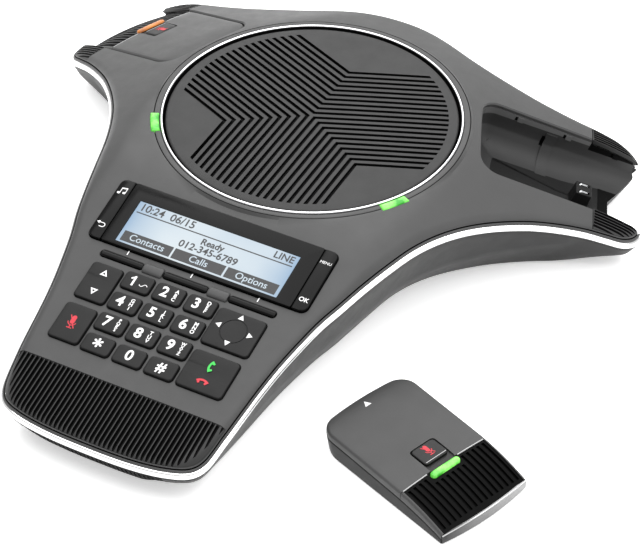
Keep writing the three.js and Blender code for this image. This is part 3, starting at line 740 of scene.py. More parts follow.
def build_bottom_shell():
    band, crease, base = lower_lines()
    rows = lower_rows()
    rows += [OUT.off(1.2, OUT.edge - 5.62), OUT.off(-1.6, OUT.edge - 5.62)]
    rows += [pulled(crease, SKIN, 1.2), pulled(base, SKIN, SKIN)]
    rows += [np.column_stack([base[:, 0] * 0.1, base[:, 1] * 0.1, np.full(len(base), BASE_Z + SKIN)])]
    bottom = loft(rows, fan=True)
    for deg in DOCKS.values():
        m = dock_matrix(deg)
        bottom = carve(bottom, moved(prism(pod_outline(2.4, 120), -9.8, 40), m))
        bottom = carve(bottom, moved(prism(FINGER_NOTCH, -14, 20), m))
    bottom = carve(bottom, box(-38, 38, -230, -193, 4.4, 40))
    bottom = carve(bottom, box(-24, 24, 70, 110, 24.7, 41.3))
    piece("bottom_shell", bottom, LOWER, replaces=["bottom_housing"], angle=30)


def build_nose():
    rows = lower_rows()[2:] + [OUT.off(1.2, OUT.edge - 5.62)]
    for r in rows:
        r[:, 0] -= OUT.nx * 0.25
        r[:, 1] -= OUT.ny * 0.25
    inner = rows[-1].copy()
    inner[:, :2] *= 0.9
    low = rows[0].copy()
    low[:, :2] *= 0.9
    nose = loft([low] + rows + [inner], fan=True)
    nose = carve(nose, box(-37.7, 37.7, -230, -196, 4.7, 19.4), "INTERSECT")
    grooves = [box(x - 0.45, x + 0.45, -230, -200, 5.4, 15.2) for x in np.arange(-35.2, 35.3, 2.2)]
    nose = carve(nose, join(*grooves))
    piece("nose_ribs", nose, RIBS, replaces=["front_nose_grille"])


def build_band():
    section = [(0.9, -1.66), (1.4, -1.72), (1.85, -1.95), (2.18, -2.4), (2.35, -3.0), (2.36, -4.0),
               (2.25, -4.6), (1.95, -5.1), (1.5, -5.45), (0.9, -5.55), (-0.8, -5.5), (-0.8, -1.85)]
    band = loft([OUT.off(o, OUT.edge + dz) for o, dz in section], wrap=True)
    cutters = [moved(prism(pod_outline(2.4, 120), -8, 60), dock_matrix(deg)) for deg in DOCKS.values()]
    band = carve(band, join(*cutters))
    for part, y0, y1 in (("front", -250, 62), ("back", 62, 150)):
        half = carve(band, box(-200, 200, y0, y1, -10, 90), "INTERSECT")
        piece(f"trim_band_{part}", half, SILVER, replaces=[f"silver_band_{part}"], angle=75)


# ---------- speaker ----------
def dome_z(r):
    return RING_Z + 0.5 - 0.7 * (r / 75.0) ** 2


def chevron(ray, half, d, w):
    """One slot: two legs that leave its bend half degrees either side of the ray."""
    leg = math.radians(half)

    def corner(q):
        return (q / math.sin(leg), 0)

    def end(q, side):
        along = math.sqrt(SLOT_REACH ** 2 - q * q)
        x, y = along * math.cos(leg) + q * math.sin(leg), along * math.sin(leg) - q * math.cos(leg)
        return (x, side * y)
    pts = [end(d + w, -1), corner(d + w), end(d + w, 1), end(d - w, 1), corner(d - w), end(d - w, -1)]
    return moved(prism(pts, 40, 70), Matrix.Rotation(math.radians(ray), 4, "Z"))


def build_speaker():
    radii = list(np.linspace(2, 72, 18)) + [72.5, 72.9, 73.2]
    drops = [0] * 18 + [0.06, 0.2, 0.5]
    top = [(r, dome_z(r) - d) for r, d in zip(radii, drops)]
    low = [(DISC_R, dome_z(DISC_R) - 1.8)] + [(r, dome_z(r) - 1.8) for r in (60, 40, 20, 2)]
    disc = turned(top + low, 256)
    front = (MIC_ANGLE - 90) / 2
    for ray, half in ((front, 90 + front), (90, 90 - MIC_ANGLE), (180 - front, 90 + front)):
        slots = [chevron(ray, half, (i + 0.5) * SLOT_PITCH, SLOT_WIDTH / 2) for i in range(10)]
        # The slot walls take the near-black groove material: painted shade.
        disc = carve(disc, painted(join(*slots), 1))
    piece("speaker_disc", disc, [DISC, GROOVE_SHADE], replaces=["speaker_grille"], angle=28)
    crest = arc(0.6, 0, 180, 9, 75.2, 60.3)
    profile = [(73.6, 52), (75.8, 52)] + crest + [(74.6, 59.7), (74.6, 53.6), (73.6, 53.6)]
    # The ring's inner wall takes the near black: painted shade in the gap round the disc.
    kinds = [1 if r < 74.7 and z < 60.35 else 0 for r, z in profile]
    piece("bright_ring", lathe(profile, 320, kinds), [CHROME, GROOVE_SHADE], replaces=["speaker_ring"],
          angle=50)
    cloth = turned([(2, 52.6), (69, 52.6), (70.6, 52.4), (70.8, 52.0), (2, 51.9)], 96)
    piece("speaker_cloth", cloth, CLOTH, replaces=["grille_cloth"])


# ---------- display ----------
def build_display():
    m = plane_matrix(0, BEZEL_S)
    cx, w = 0.8, 102.8
    levels = ((-1.6, 0, 1.0), (1.35, 0, 1.0), (1.52, 0.2, 0.9), (1.6, 0.5, 0.8))
    plate = loft([ring_at(rounded(w - d, 36.4 - d, r, 6, cx), z) for z, d, r in levels])
    plate = carve(plate, prism(rounded(87.6, 25.4, 0.6, 4, 0, -3.4), -4, 4))
    piece("display_lens", moved(plate, m), GLOSS, replaces=["display_bezel"])
    screen = join(box(-48, 48, -17.6, 12, -5.2, -1.9), box(-43.6, 43.6, -15.9, 9.1, -1.8, 1.38))
    piece("lcd_panel", moved(screen, m), lcd_glass(), replaces=["lcd_module"])
    for name, x0, x1 in (("menu_ok_rocker", 52.6, 60.0), ("tune_back_rocker", -58.4, -51.0)):
        side = 1 if x0 > 0 else -1
        pts = strip_outline(x0, x1, 18.2, side)
        rows = [ring_at(pts, -3.4), ring_at(pts, 1.2)]
        for inset, z in ((0.15, 1.45), (0.45, 1.6)):
            rows.append(ring_at(strip_outline(x0 + inset, x1 - inset, 18.2 - inset, side), z))
        piece(f"{name}_cap", moved(loft(rows), m), GLOSS, body=name, replaces=[name])


def strip_outline(x0, x1, half, side):
    """A narrow key whose two outer corners are round, like the display window's."""
    r, small = 3.4, 0.5
    pts = []
    corners = ((x1, half, 0), (x0, half, 90), (x0, -half, 180), (x1, -half, 270))
    for x, y, a0 in corners:
        q = r if (x == x1) == (side > 0) else small
        cx, cy = x - q * (1 if x == x1 else -1), y - q * (1 if y > 0 else -1)
        pts += arc(q, a0, a0 + 90, 8, cx, cy)
    return pts


def lcd_glass():
    """A backlit panel: cool at its edges, near white in its middle, with a faint fine grain."""
    n = Nodes("lcd_backlight")
    split = n.add("ShaderNodeSeparateXYZ")
    n.link(n.place, split.inputs[0])
    ramp_x = n.ramp(split.outputs[0], -1.0, 1.0, -0.044, 0.044)
    square = n.add("ShaderNodeMath", operation="POWER")
    square.inputs[1].default_value = 4.0
    absolute = n.add("ShaderNodeMath", operation="ABSOLUTE")
    n.link(ramp_x, absolute.inputs[0])
    n.link(absolute.outputs[0], square.inputs[0])
    cloud = n.noise(26, 2.0)
    edge = n.add("ShaderNodeMath", operation="MULTIPLY_ADD")
    edge.inputs[1].default_value = 0.75
    n.link(square.outputs[0], edge.inputs[0])
    n.link(n.ramp(cloud, 0.0, 0.35), edge.inputs[2])
    color = n.mix(edge.outputs[0], linear("e8eef0"), linear("8fb0d0"))
    n.feed(n.mix(edge.outputs[0], linear("5c6468"), linear("3c4a58")), "Base Color")
    n.feed(color, "Emission Color")
    n.fix("Emission Strength", 0.72)
    n.fix("Specular IOR Level", 0.15)
    n.feed(n.ramp(n.noise(500, 2.0), 0.18, 0.26), "Roughness")
    n.bump((n.noise(4000, 1.0), 0.05, 0.00002))
    return n.material


# ---------- printed marks ----------
INK_DEPTH = 0.06


def text_shape(words, size, bold, align="CENTER"):
    """Lettering as a thin solid, in millimetres, its middle at the origin."""
    curve = bpy.data.curves.new("words", "FONT")
    curve.body, curve.size, curve.offset, curve.extrude = words, size, bold, INK_DEPTH / 2
    curve.align_x, curve.align_y, curve.resolution_u = align, "CENTER", 4
    o = bpy.data.objects.new("words", curve)
    bpy.context.scene.collection.objects.link(o)
    bpy.context.view_layer.update()
    mesh = bpy.data.meshes.new_from_object(o.evaluated_get(bpy.context.evaluated_depsgraph_get()))
    out = shape([tuple(v.co) for v in mesh.vertices], [tuple(p.vertices) for p in mesh.polygons])
    bpy.data.objects.remove(o)
    bpy.data.curves.remove(curve)
    bpy.data.meshes.remove(mesh)
    return out


def at(s, u, v, w=0.0, turn=0.0):
    return moved(s, Matrix.Translation((u, v, w)) @ Matrix.Rotation(math.radians(turn), 4, "Z"))


def flat(points):
    return prism(points, -INK_DEPTH / 2, INK_DEPTH / 2)


def triangle(r, turn=90):
    return arc(r, turn, turn + 240, 2)


def bar(x0, y0, x1, y1, width):
    """A straight stroke with square ends."""
    a = math.atan2(y1 - y0, x1 - x0)
    dx, dy = -math.sin(a) * width / 2, math.cos(a) * width / 2
    return flat([(x0 - dx, y0 - dy), (x1 - dx, y1 - dy), (x1 + dx, y1 + dy), (x0 + dx, y0 + dy)])


def arc_stroke(r, a0, a1, width):
    return flat(sector(r - width / 2, r + width / 2, a0, a1, 14))


def mute_icon(k=1.0):
    """A crossed-out microphone."""
    parts = [flat(rounded(1.7 * k, 3.6 * k, 0.85 * k, 6, 0, 1.0 * k))]
    parts.append(at(arc_stroke(1.55 * k, 190, 350, 0.34 * k), 0, 0.2 * k))
    parts += [bar(0, -1.2 * k, 0, -2.5 * k, 0.36 * k), bar(-1.0 * k, -2.5 * k, 1.0 * k, -2.5 * k, 0.34 * k)]
    parts.append(bar(-1.7 * k, 2.6 * k, 1.7 * k, -2.3 * k, 0.36 * k))
    return union(*parts)


def handset_icon():
    """A telephone handset: a curved grip with two fuller ends."""
    pts = []
    for r, a0, a1 in ((5.1, 140, 220), (2.9, 220, 203), (4.0, 200, 160), (2.9, 157, 140)):
        pts += arc(r, a0, a1, 8, 4.2)
    return flat(pts)


def legend(name, marks, x, s, w, material, body):
    """Printed marks on a key or on the shell, at height w above the keypad plane."""
    mark = moved(join(*[at(q, 0, 0, w) for q in marks]), plane_matrix(x, s))
    return piece(name, mark, material, body=body, angle=20)


LETTERS = {"two": "ABC", "three": "DEF", "four": "GHI", "five": "JKL", "six": "MNO", "seven": "PQRS",
           "eight": "TUV", "nine": "WXYZ"}
DIGITS = dict(zip(DIAL, "123456789*0#"))
CAP_TOP = 1.6
CAP_CROWN = 0.16


def build_keys():
    for name, (x, s, w, h, r) in KEYS.items():
        lip = box(-w / 2 - 0.7, w / 2 + 0.7, -h / 2 - 0.7, h / 2 + 0.7, -4.2, -2.9)
        cap = cap_block(w, h, r, -3.5, CAP_TOP, 0.55, CAP_CROWN)
        solid = union(cap, lip)
        if name == "navigation_pad":
            circle = ((6.3, -0.3), (6.6, -0.3), (6.85, 0.2), (6.05, 0.2))
            solid = carve(solid, lathe([(r, CAP_TOP + z) for r, z in circle], 64))
        if name in ("volume_rocker", "talk_end_rocker"):
            across = Matrix.Translation((0, 0, CAP_TOP + 59.72)) @ Matrix.Rotation(math.pi / 2, 4, "Y")
            solid = carve(solid, moved(turned([(0.5, -w), (60, -w), (60, w), (0.5, w)], 160), across))
        piece(f"{name}_cap", moved(solid, plane_matrix(x, s)), KEY, body=name, replaces=[name],
              angle=24)
    top = CAP_TOP + 0.02
    for name in DIAL:
        x, s = KEYS[f"key_{name}"][:2]
        marks = []
        if name in ("star", "hash", "zero"):
            size = {"star": 11.0, "hash": 7.6, "zero": 7.8}[name]
            drop = -1.6 if name == "star" else 0
            marks.append(at(text_shape(DIGITS[name], size, 0.18), 0, drop))
        elif name == "one":
            one = union(bar(0.35, -2.7, 0.35, 2.8, 1.05), bar(0.6, 2.45, -1.5, 1.0, 0.8))
            marks += [at(one, -2.2, 0), at(arc_stroke(1.1, 200, 340, 0.32), 2.6, -0.4)]
            marks.append(at(arc_stroke(1.1, 20, 160, 0.32), 4.7, -1.2))
        else:
            marks.append(at(text_shape(DIGITS[name], 7.8, 0.2), -2.2, 0))
        letters = LETTERS.get(name, "")
        size, pitch = (2.8, 2.25) if len(letters) == 3 else (2.35, 1.85)
        for i, letter in enumerate(letters):
            v = (len(letters) - 1) * pitch / 2 - i * pitch
            marks.append(at(text_shape(letter, size, 0.07), 3.6, v))
        legend(f"legend_{name}", marks, x, s, top, WHITE_INK, f"key_{name}")
    x, s = KEYS["volume_rocker"][:2]
    marks = []
    for v, turn in ((5.2, 90), (-5.2, 270)):
        ring = carve(flat(triangle(2.3, turn)), prism(triangle(0.95, turn), -1, 1))
        marks.append(at(ring, 0.3, v))
    legend("legend_volume", marks, x, s, top + 0.08, WHITE_INK, "volume_rocker")
    x, s = KEYS["mute_key"][:2]
    legend("legend_mute", [at(mute_icon(1.35), 0, 0)], x, s, top, RED_INK, "mute_key")
    x, s = KEYS["navigation_pad"][:2]
    marks = [at(flat(triangle(1.75, turn)), u, v) for u, v, turn in
             ((0, 8.0, 90), (-8.3, 1.0, 180), (8.0, 0.6, 0), (0, -6.7, 270))]
    legend("legend_navigation", marks, x, s, top - 0.02, WHITE_INK, "navigation_pad")
    x, s = KEYS["talk_end_rocker"][:2]
    for word, u, v, turn, material in (("talk", -0.6, 3.6, 0, GREEN_INK), ("end", 0, -4.6, -90, RED_INK)):
        legend(f"legend_{word}", [at(handset_icon(), u, v, 0, turn)], x, s, top + 0.12, material,
               "talk_end_rocker")


def half_round(x0, x1, radius, height, s, base=-3.5):
    """A bar across the keypad with a half-round top."""
    section = [(radius * v, height * w) for v, w in arc(1, 0, 180, 12)] + [(-radius, base), (radius, base)]
    ends = ((0, 0.8), (0.35, 0.96), (0.9, 1.0))
    rows = []
    for x, k in [(x0 + d, k) for d, k in ends] + [(x1 - d, k) for d, k in ends[::-1]]:
        rows.append([(x, v * k, w * k if w > 0 else w) for v, w in section])
    return moved(loft(rows), plane_matrix(0, s))


def build_softkeys():
    for name, (x, w) in SOFTKEYS.items():
        bar_shape = half_round(x - w / 2, x + w / 2, SOFT_H / 2, 1.1, SOFT_S)
        half_w, half_h = w / 2 + 0.7, SOFT_H / 2 + 0.7
        lip = moved(box(-half_w, half_w, -half_h, half_h, -4.2, -2.9), plane_matrix(x, SOFT_S))
        piece(f"{name}_bar", union(bar_shape, lip), GLOSS, body=name, replaces=[name])
        tick = flat(rounded(0.55, 2.3, 0.2))
        legend(f"tick_{name[8:]}", [tick], x + 0.9, 121.9, 0.42, WHITE_INK, "base")
    for i, (x0, x1) in enumerate(((-23.4, -12.9), (11.8, 22.4))):
        piece(f"softkey_bridge_{i + 1}", half_round(x0, x1, 2.9, 1.5, SOFT_S, -0.6), SHELL)


def build_display_marks():
    def on_screen(name, marks, material, height=1.42):
        return legend(name, marks, 0, BEZEL_S, height, material, "base")
    dark = [at(text_shape("10:24  06/15", 6.0, 0.09, align="LEFT"), -42.0, 6.0)]
    dark += [bar(-42.4, 2.7, 42.4, 2.7, 0.6), at(text_shape("LINE", 5.4, 0.09, align="RIGHT"), 42.0, 6.0)]
    dark += [at(text_shape("Ready", 5.0, 0.12), 1.5, -0.9)]
    dark += [at(text_shape("012-345-6789", 5.6, 0.1), 1.5, -5.6)]
    on_screen("lcd_text", dark, LCD_INK)
    boxes, words = [], []
    for u, w, word in ((-28.45, 26.9, "Contacts"), (-0.25, 27.5, "Calls"), (28.3, 27.4, "Options")):
        boxes.append(bar(u - w / 2, -12.0, u + w / 2, -12.0, 6.0))
        words.append(at(text_shape(word, 5.2, 0.04), u, -11.9))
    on_screen("lcd_softlabels", boxes, LCD_INK)
    on_screen("lcd_softwords", words, GREY_INK, 1.46)
    marks = [at(text_shape("MENU", 2.2, 0.0), 0, 10.6), at(text_shape("OK", 3.4, 0.05), 0, -12.2)]
    legend("legend_menu", marks, 56.3, BEZEL_S, 1.62, WHITE_INK, "menu_ok_rocker")
    note = [flat(rounded(1.5, 1.15, 0.5, 5, -1.15, -1.5)), flat(rounded(1.5, 1.15, 0.5, 5, 1.55, -0.95)),
            bar(-0.55, -1.4, -0.55, 1.5, 0.34), bar(2.15, -0.9, 2.15, 2.0, 0.34),
            bar(-0.7, 1.45, 2.3, 2.0, 0.7)]
    back = [at(arc_stroke(1.15, -90, 90, 0.42), 0.9, 0), bar(0.95, 1.15, -1.5, 1.15, 0.42),
            bar(0.95, -1.15, -0.6, -1.15, 0.42), at(flat(triangle(1.05, 180)), -1.7, 1.15)]
    marks = [at(union(*note), -0.5, 11.0), at(union(*back), 0, -10.6)]
    legend("legend_tune", marks, -54.7, BEZEL_S, 1.62, WHITE_INK, "tune_back_rocker")


# ---------- ribbed fields ----------
def skin_slab(inset, depth):
    """A slab of the given depth just under the whole top surface, rolled at its edge."""
    rolls = (inset, inset - 0.35, inset - 0.8, inset - 1.4, inset - 2.2, -3.6, -5.0)
    top = [OUT.skin(o, edge_roll(o) + 0.05) for o in rolls]
    rim = OUT.off(-5, 0)
    for f in (0.03, 0.06, 0.10, 0.15, 0.22, 0.3, 0.4, 0.55, 0.75, 0.97):
        x, y = rim[:, 0] * (1 - f), rim[:, 1] * (1 - f)
        top.append(np.column_stack([x, y, skin_z(x, y) - 0.05]))
    low = [r - np.array([0, 0, depth]) for r in (top[0], top[6], top[10], top[13], top[-1])]
    return loft(top[::-1] + low, fan=True)


def build_ribs(slab):
    front = carve(slab, box(-90, 90, -230, -RIB_START_KEY - GAP, 0, 80), "INTERSECT")
    grooves = []
    for i in range(-24, 24):
        x = (i + 0.5) * 2.4
        section = [(-1.0, 3), (-1.0, 0.02), (-0.35, -1.3), (0.35, -1.3), (1.0, 0.02), (1.0, 3)]
        rows = [[(x + u, v, w) for u, w in section] for v in (-34, -0.35)]
        grooves.append(moved(loft(rows), plane_matrix(0, 187.5)))
    # The crests keep the lighter crest grey, a painted highlight. The grooves take the black.
    front = carve(front, painted(join(*grooves), 1))
    piece("tip_ribs", front, [RIB_CREST_HIGHLIGHT, RIBS], replaces=["front_mic_grille"], angle=24)


# ---------- docks ----------
def wing_block(deg, s0, s1, half, drop, base):
    """A block under the top surface of a wing, its top drop below the surface."""
    ss = np.linspace(s0, s1, int((s1 - s0) / 2) + 2)
    ts = np.linspace(-half, half, int(half) + 2)
    a = math.radians(deg)
    grid_s, grid_t = np.meshgrid(ss, ts, indexing="ij")
    x = grid_s * math.cos(a) - grid_t * math.sin(a)
    y = grid_s * math.sin(a) + grid_t * math.cos(a)
    top = np.stack([x, y, skin_z(x, y) - drop], -1)
    low = np.stack([x, y, np.full(x.shape, base)], -1)
    n, m = x.shape
    points = np.concatenate([top.reshape(-1, 3), low.reshape(-1, 3)])
    faces = []
    for i in range(n - 1):
        for j in range(m - 1):
            q = [i * m + j, (i + 1) * m + j, (i + 1) * m + j + 1, i * m + j + 1]
            faces.append(tuple(q))
            faces.append(tuple(k + n * m for k in q[::-1]))
    rim = [i * m for i in range(n)] + [(n - 1) * m + j for j in range(1, m)]
    rim += [i * m + m - 1 for i in range(n - 2, -1, -1)] + [j for j in range(m - 2, 0, -1)]
    for a0, b0 in zip(rim, rim[1:] + rim[:1]):
        faces.append((b0, a0, a0 + n * m, b0 + n * m))
    return outward(shape(points, faces))


def dock_hollow(extra=0.0):
    """The pod's bay: straight walls down to the pod's underside, then a bowl that shallows outward."""
    def depth(z, x):
        return z * (1 - 0.33 * smooth(50, 76, x)) if z < 0 else z
    levels = ((-9, 13.5), (-8.7, 10.5), (-8, 7.8), (-6.8, 5.3), (-5, 3.1), (-3, 1.5), (-1.2, 0.5),
              (-0.4, -0.1), (0.6, -0.5), (4.8, -0.5), (7.4, -0.5), (60, -0.5))
    floor = np.array(pod_outline(-13.5 - extra, 120))
    rows, kinds = [], []
    # The floor rings take material 2, the darker floor grey: painted shade at the bottom of the bay.
    for f in (0.04, 0.35, 0.7):
        pts = np.array([66.0, 0.0]) + (floor - np.array([66.0, 0.0])) * f
        rows.append(np.column_stack([pts, depth(-9, pts[:, 0])]))
        kinds.append(2)
    for z, inset in levels:
        pts = np.array(pod_outline(-inset - extra, 120))
        rows.append(np.column_stack([pts, depth(z, pts[:, 0]) + 0 * pts[:, 0]]))
        kinds.append(0)
    return loft(rows, mats=kinds)


def arm_groove(deg, y):
    """A cutter for one groove of an arm, its floor following the top surface."""
    section = ((-0.25, -1.1), (0.25, -1.1), (0.8, 0), (0.8, 8), (-0.8, 8), (-0.8, 0))
    rows = []
    for x in np.arange(60.9, 96, 2.4):
        z = float(skin_in_dock(deg, x, y))
        rows.append([(x, y + v, z + w) for v, w in section])
    return moved(loft(rows), dock_matrix(deg))


def build_docks(slab):
    inside = loft(lower_rows() + [OUT.off(1.2, 80)], fan=True)
    for side, deg in DOCKS.items():
        m = dock_matrix(deg)
        turn = Matrix.Rotation(math.radians(deg), 4, "Z")
        arms = carve(slab, moved(box(RIB_START_MIC + 0.4, 185, -60, 60, 0, 80), turn), "INTERSECT")
        arms = carve(arms, dock_cutter(deg, 0.5, -8))
        grooves = [arm_groove(deg, sign * (28.4 + i * 1.95)) for sign in (1, -1) for i in range(7)]
        # The crests keep the lighter crest grey, a painted highlight. The grooves take the black.
        arms = carve(arms, painted(join(*grooves), 1))
        piece(f"arm_ribs_{side}", arms, [RIB_CREST_HIGHLIGHT, RIBS], angle=24)

        liner = moved(prism(pod_outline(1.9, 120), -9.6, 30), m)
        for limit in (wing_block(deg, 70, 172, 45, 2.5, 4.0), outline_block(-1.5, 0, 80), inside):
            liner = carve(liner, limit, "INTERSECT")
        bay = moved(dock_hollow(), m)
        tray = carve(liner, bay)
        for sign in (1, -1):
            def side_box(x0, x1, y0, y1, z0, z1):
                return moved(box(x0, x1, *sorted((sign * y0, sign * y1)), z0, z1), m)
            fold = carve(liner, side_box(37, 43, 12, 40, -12, 6.5), "INTERSECT")
            tray = carve(tray, carve(fold, moved(dock_hollow(1.0), m)), "UNION")
            # The slot and the catch holes are painted near black: painted shade.
            tray = carve(tray, painted(side_box(35.6, 37.2, 22.5, 28.2, -1.5, 4.0), 1))
            for x in (20, 47, 74):
                z = float(skin_in_dock(deg, x, sign * 27))
                catch = carve(side_box(x, x + 3, 26.95, 28.2, z - 6, z - 3.2), liner, "INTERSECT")
                tray = carve(tray, catch, "UNION")
                tray = carve(tray, painted(side_box(x - 1.6, x - 0.2, 26.5, 28.1, z - 5.6, z - 3.4), 1))
        # The sill at the bay's far end is painted near black too.
        sill = carve(liner, moved(box(70.9, 90, -13, 13, -12, -5.9), m), "INTERSECT")
        tray = carve(tray, painted(sill, 1), "UNION")
        tray = carve(tray, moved(prism(FINGER_NOTCH, -14, 20), m))
        sizes = ((9.4, 10.4, -8.6), (8.6, 9.4, 0.6), (8.0, 8.8, 0.9))
        stand = loft([ring_at(rounded(w, h, 0.8, 6, 60.2), z) for w, h, z in sizes])
        # The contact stand takes the darker floor grey: painted shade.
        tray = carve(tray, painted(moved(stand, m), 2), "UNION")
        # The pin slots are painted near black: painted shade.
        slots = [moved(box(57.3, 63.1, g * 2.8 - 0.9, g * 2.8 + 0.9, -4, 4), m) for g in (1, -1)]
        tray = carve(tray, painted(join(*slots), 1))
        # Wall faces high in the bay take the lighter lip grey by the pod's body, a painted light strip, and
        # the black ribs further out.
        parts = []
        for x0, x1, low, number in ((-20, 60.4, 7.4, 3), (60.4, 140, 4.8, 4)):
            part = carve(tray, moved(box(x0, x1, -70, 70, -40, 70), m), "INTERSECT")
            height = moved(part, m.inverted())["v"][:, 2]
            part["m"] = [number if k == 0 and np.mean(height[list(f)]) > low else k
                         for f, k in zip(part["f"], part["m"])]
            parts.append(part)
        piece(f"dock_liner_{side}", join(*parts), [TRAY, GROOVE_SHADE, BAY_FLOOR_SHADE, LIP_PAINTED_LIGHT, RIBS],
              replaces=[f"dock_tray_{side}"], angle=26)

        pins = []
        for g in (1, -1):
            section = [(57.8, -3), (57.8, 0.5), (58.6, 1.1), (61.8, 1.1), (62.6, 0.5), (62.6, -3)]
            pins.append(loft([[(x, y, z) for x, z in section] for y in (g * 2.8 - 0.6, g * 2.8 + 0.6)]))
        pins.append(box(57.7, 62.7, -3.4, 3.4, -3.2, -2.6))
        piece(f"charge_pins_{side}", moved(join(*pins), m), STEEL, replaces=[f"charge_contacts_{side}"])


# ---------- microphone pods ----------
def pod_top(x, y):
    return (15 - 0.03 * x - 0.0052 * np.maximum(0, x - 50) ** 2 - 1.3 * (y / POD_HALF) ** 2
            - 1.2 * np.maximum(0, 1 - x / 9) ** 2)


def seam_z(x):
    return 9.4 - 0.035 * x - 0.0035 * np.maximum(0, x - 50) ** 2


def pod_body(low_rows):
    """The pod's outer form: rings from its underside or seam, over a rolled edge, to the top's middle."""
    rows, roll = list(low_rows), 1.5
    for i in range(6):
        a = math.radians(90 * i / 5)
        inset, drop = roll * (1 - math.cos(a)), roll * (1 - math.sin(a))
        pts = np.array(pod_outline(-inset, 90))
        rows.append(np.column_stack([pts, pod_top(pts[:, 0], pts[:, 1]) - drop]))
    rim = np.array(pod_outline(-roll, 90))
    centre = np.array([42.0, 0.0])
    for f in (0.92, 0.8, 0.66, 0.5, 0.34, 0.18, 0.03):
        pts = centre + (rim - centre) * f
        rows.append(np.column_stack([pts, pod_top(pts[:, 0], pts[:, 1])]))
    return loft(rows, fan=True)


def surface_tool(x0, x1, y0, y1, drop):
    """A cutter whose floor follows the pod's top, drop below it."""
    xs = np.linspace(x0, x1, max(2, int((x1 - x0) / 3) + 1))
    ys = np.linspace(y0, y1, max(2, int((y1 - y0) / 3) + 1))
    rows = []
    for x in xs:
        low = [(x, y, float(pod_top(x, y)) - drop) for y in ys]
        rows.append(low + [(x, y1, 40.0), (x, y0, 40.0)])
    return loft(rows)


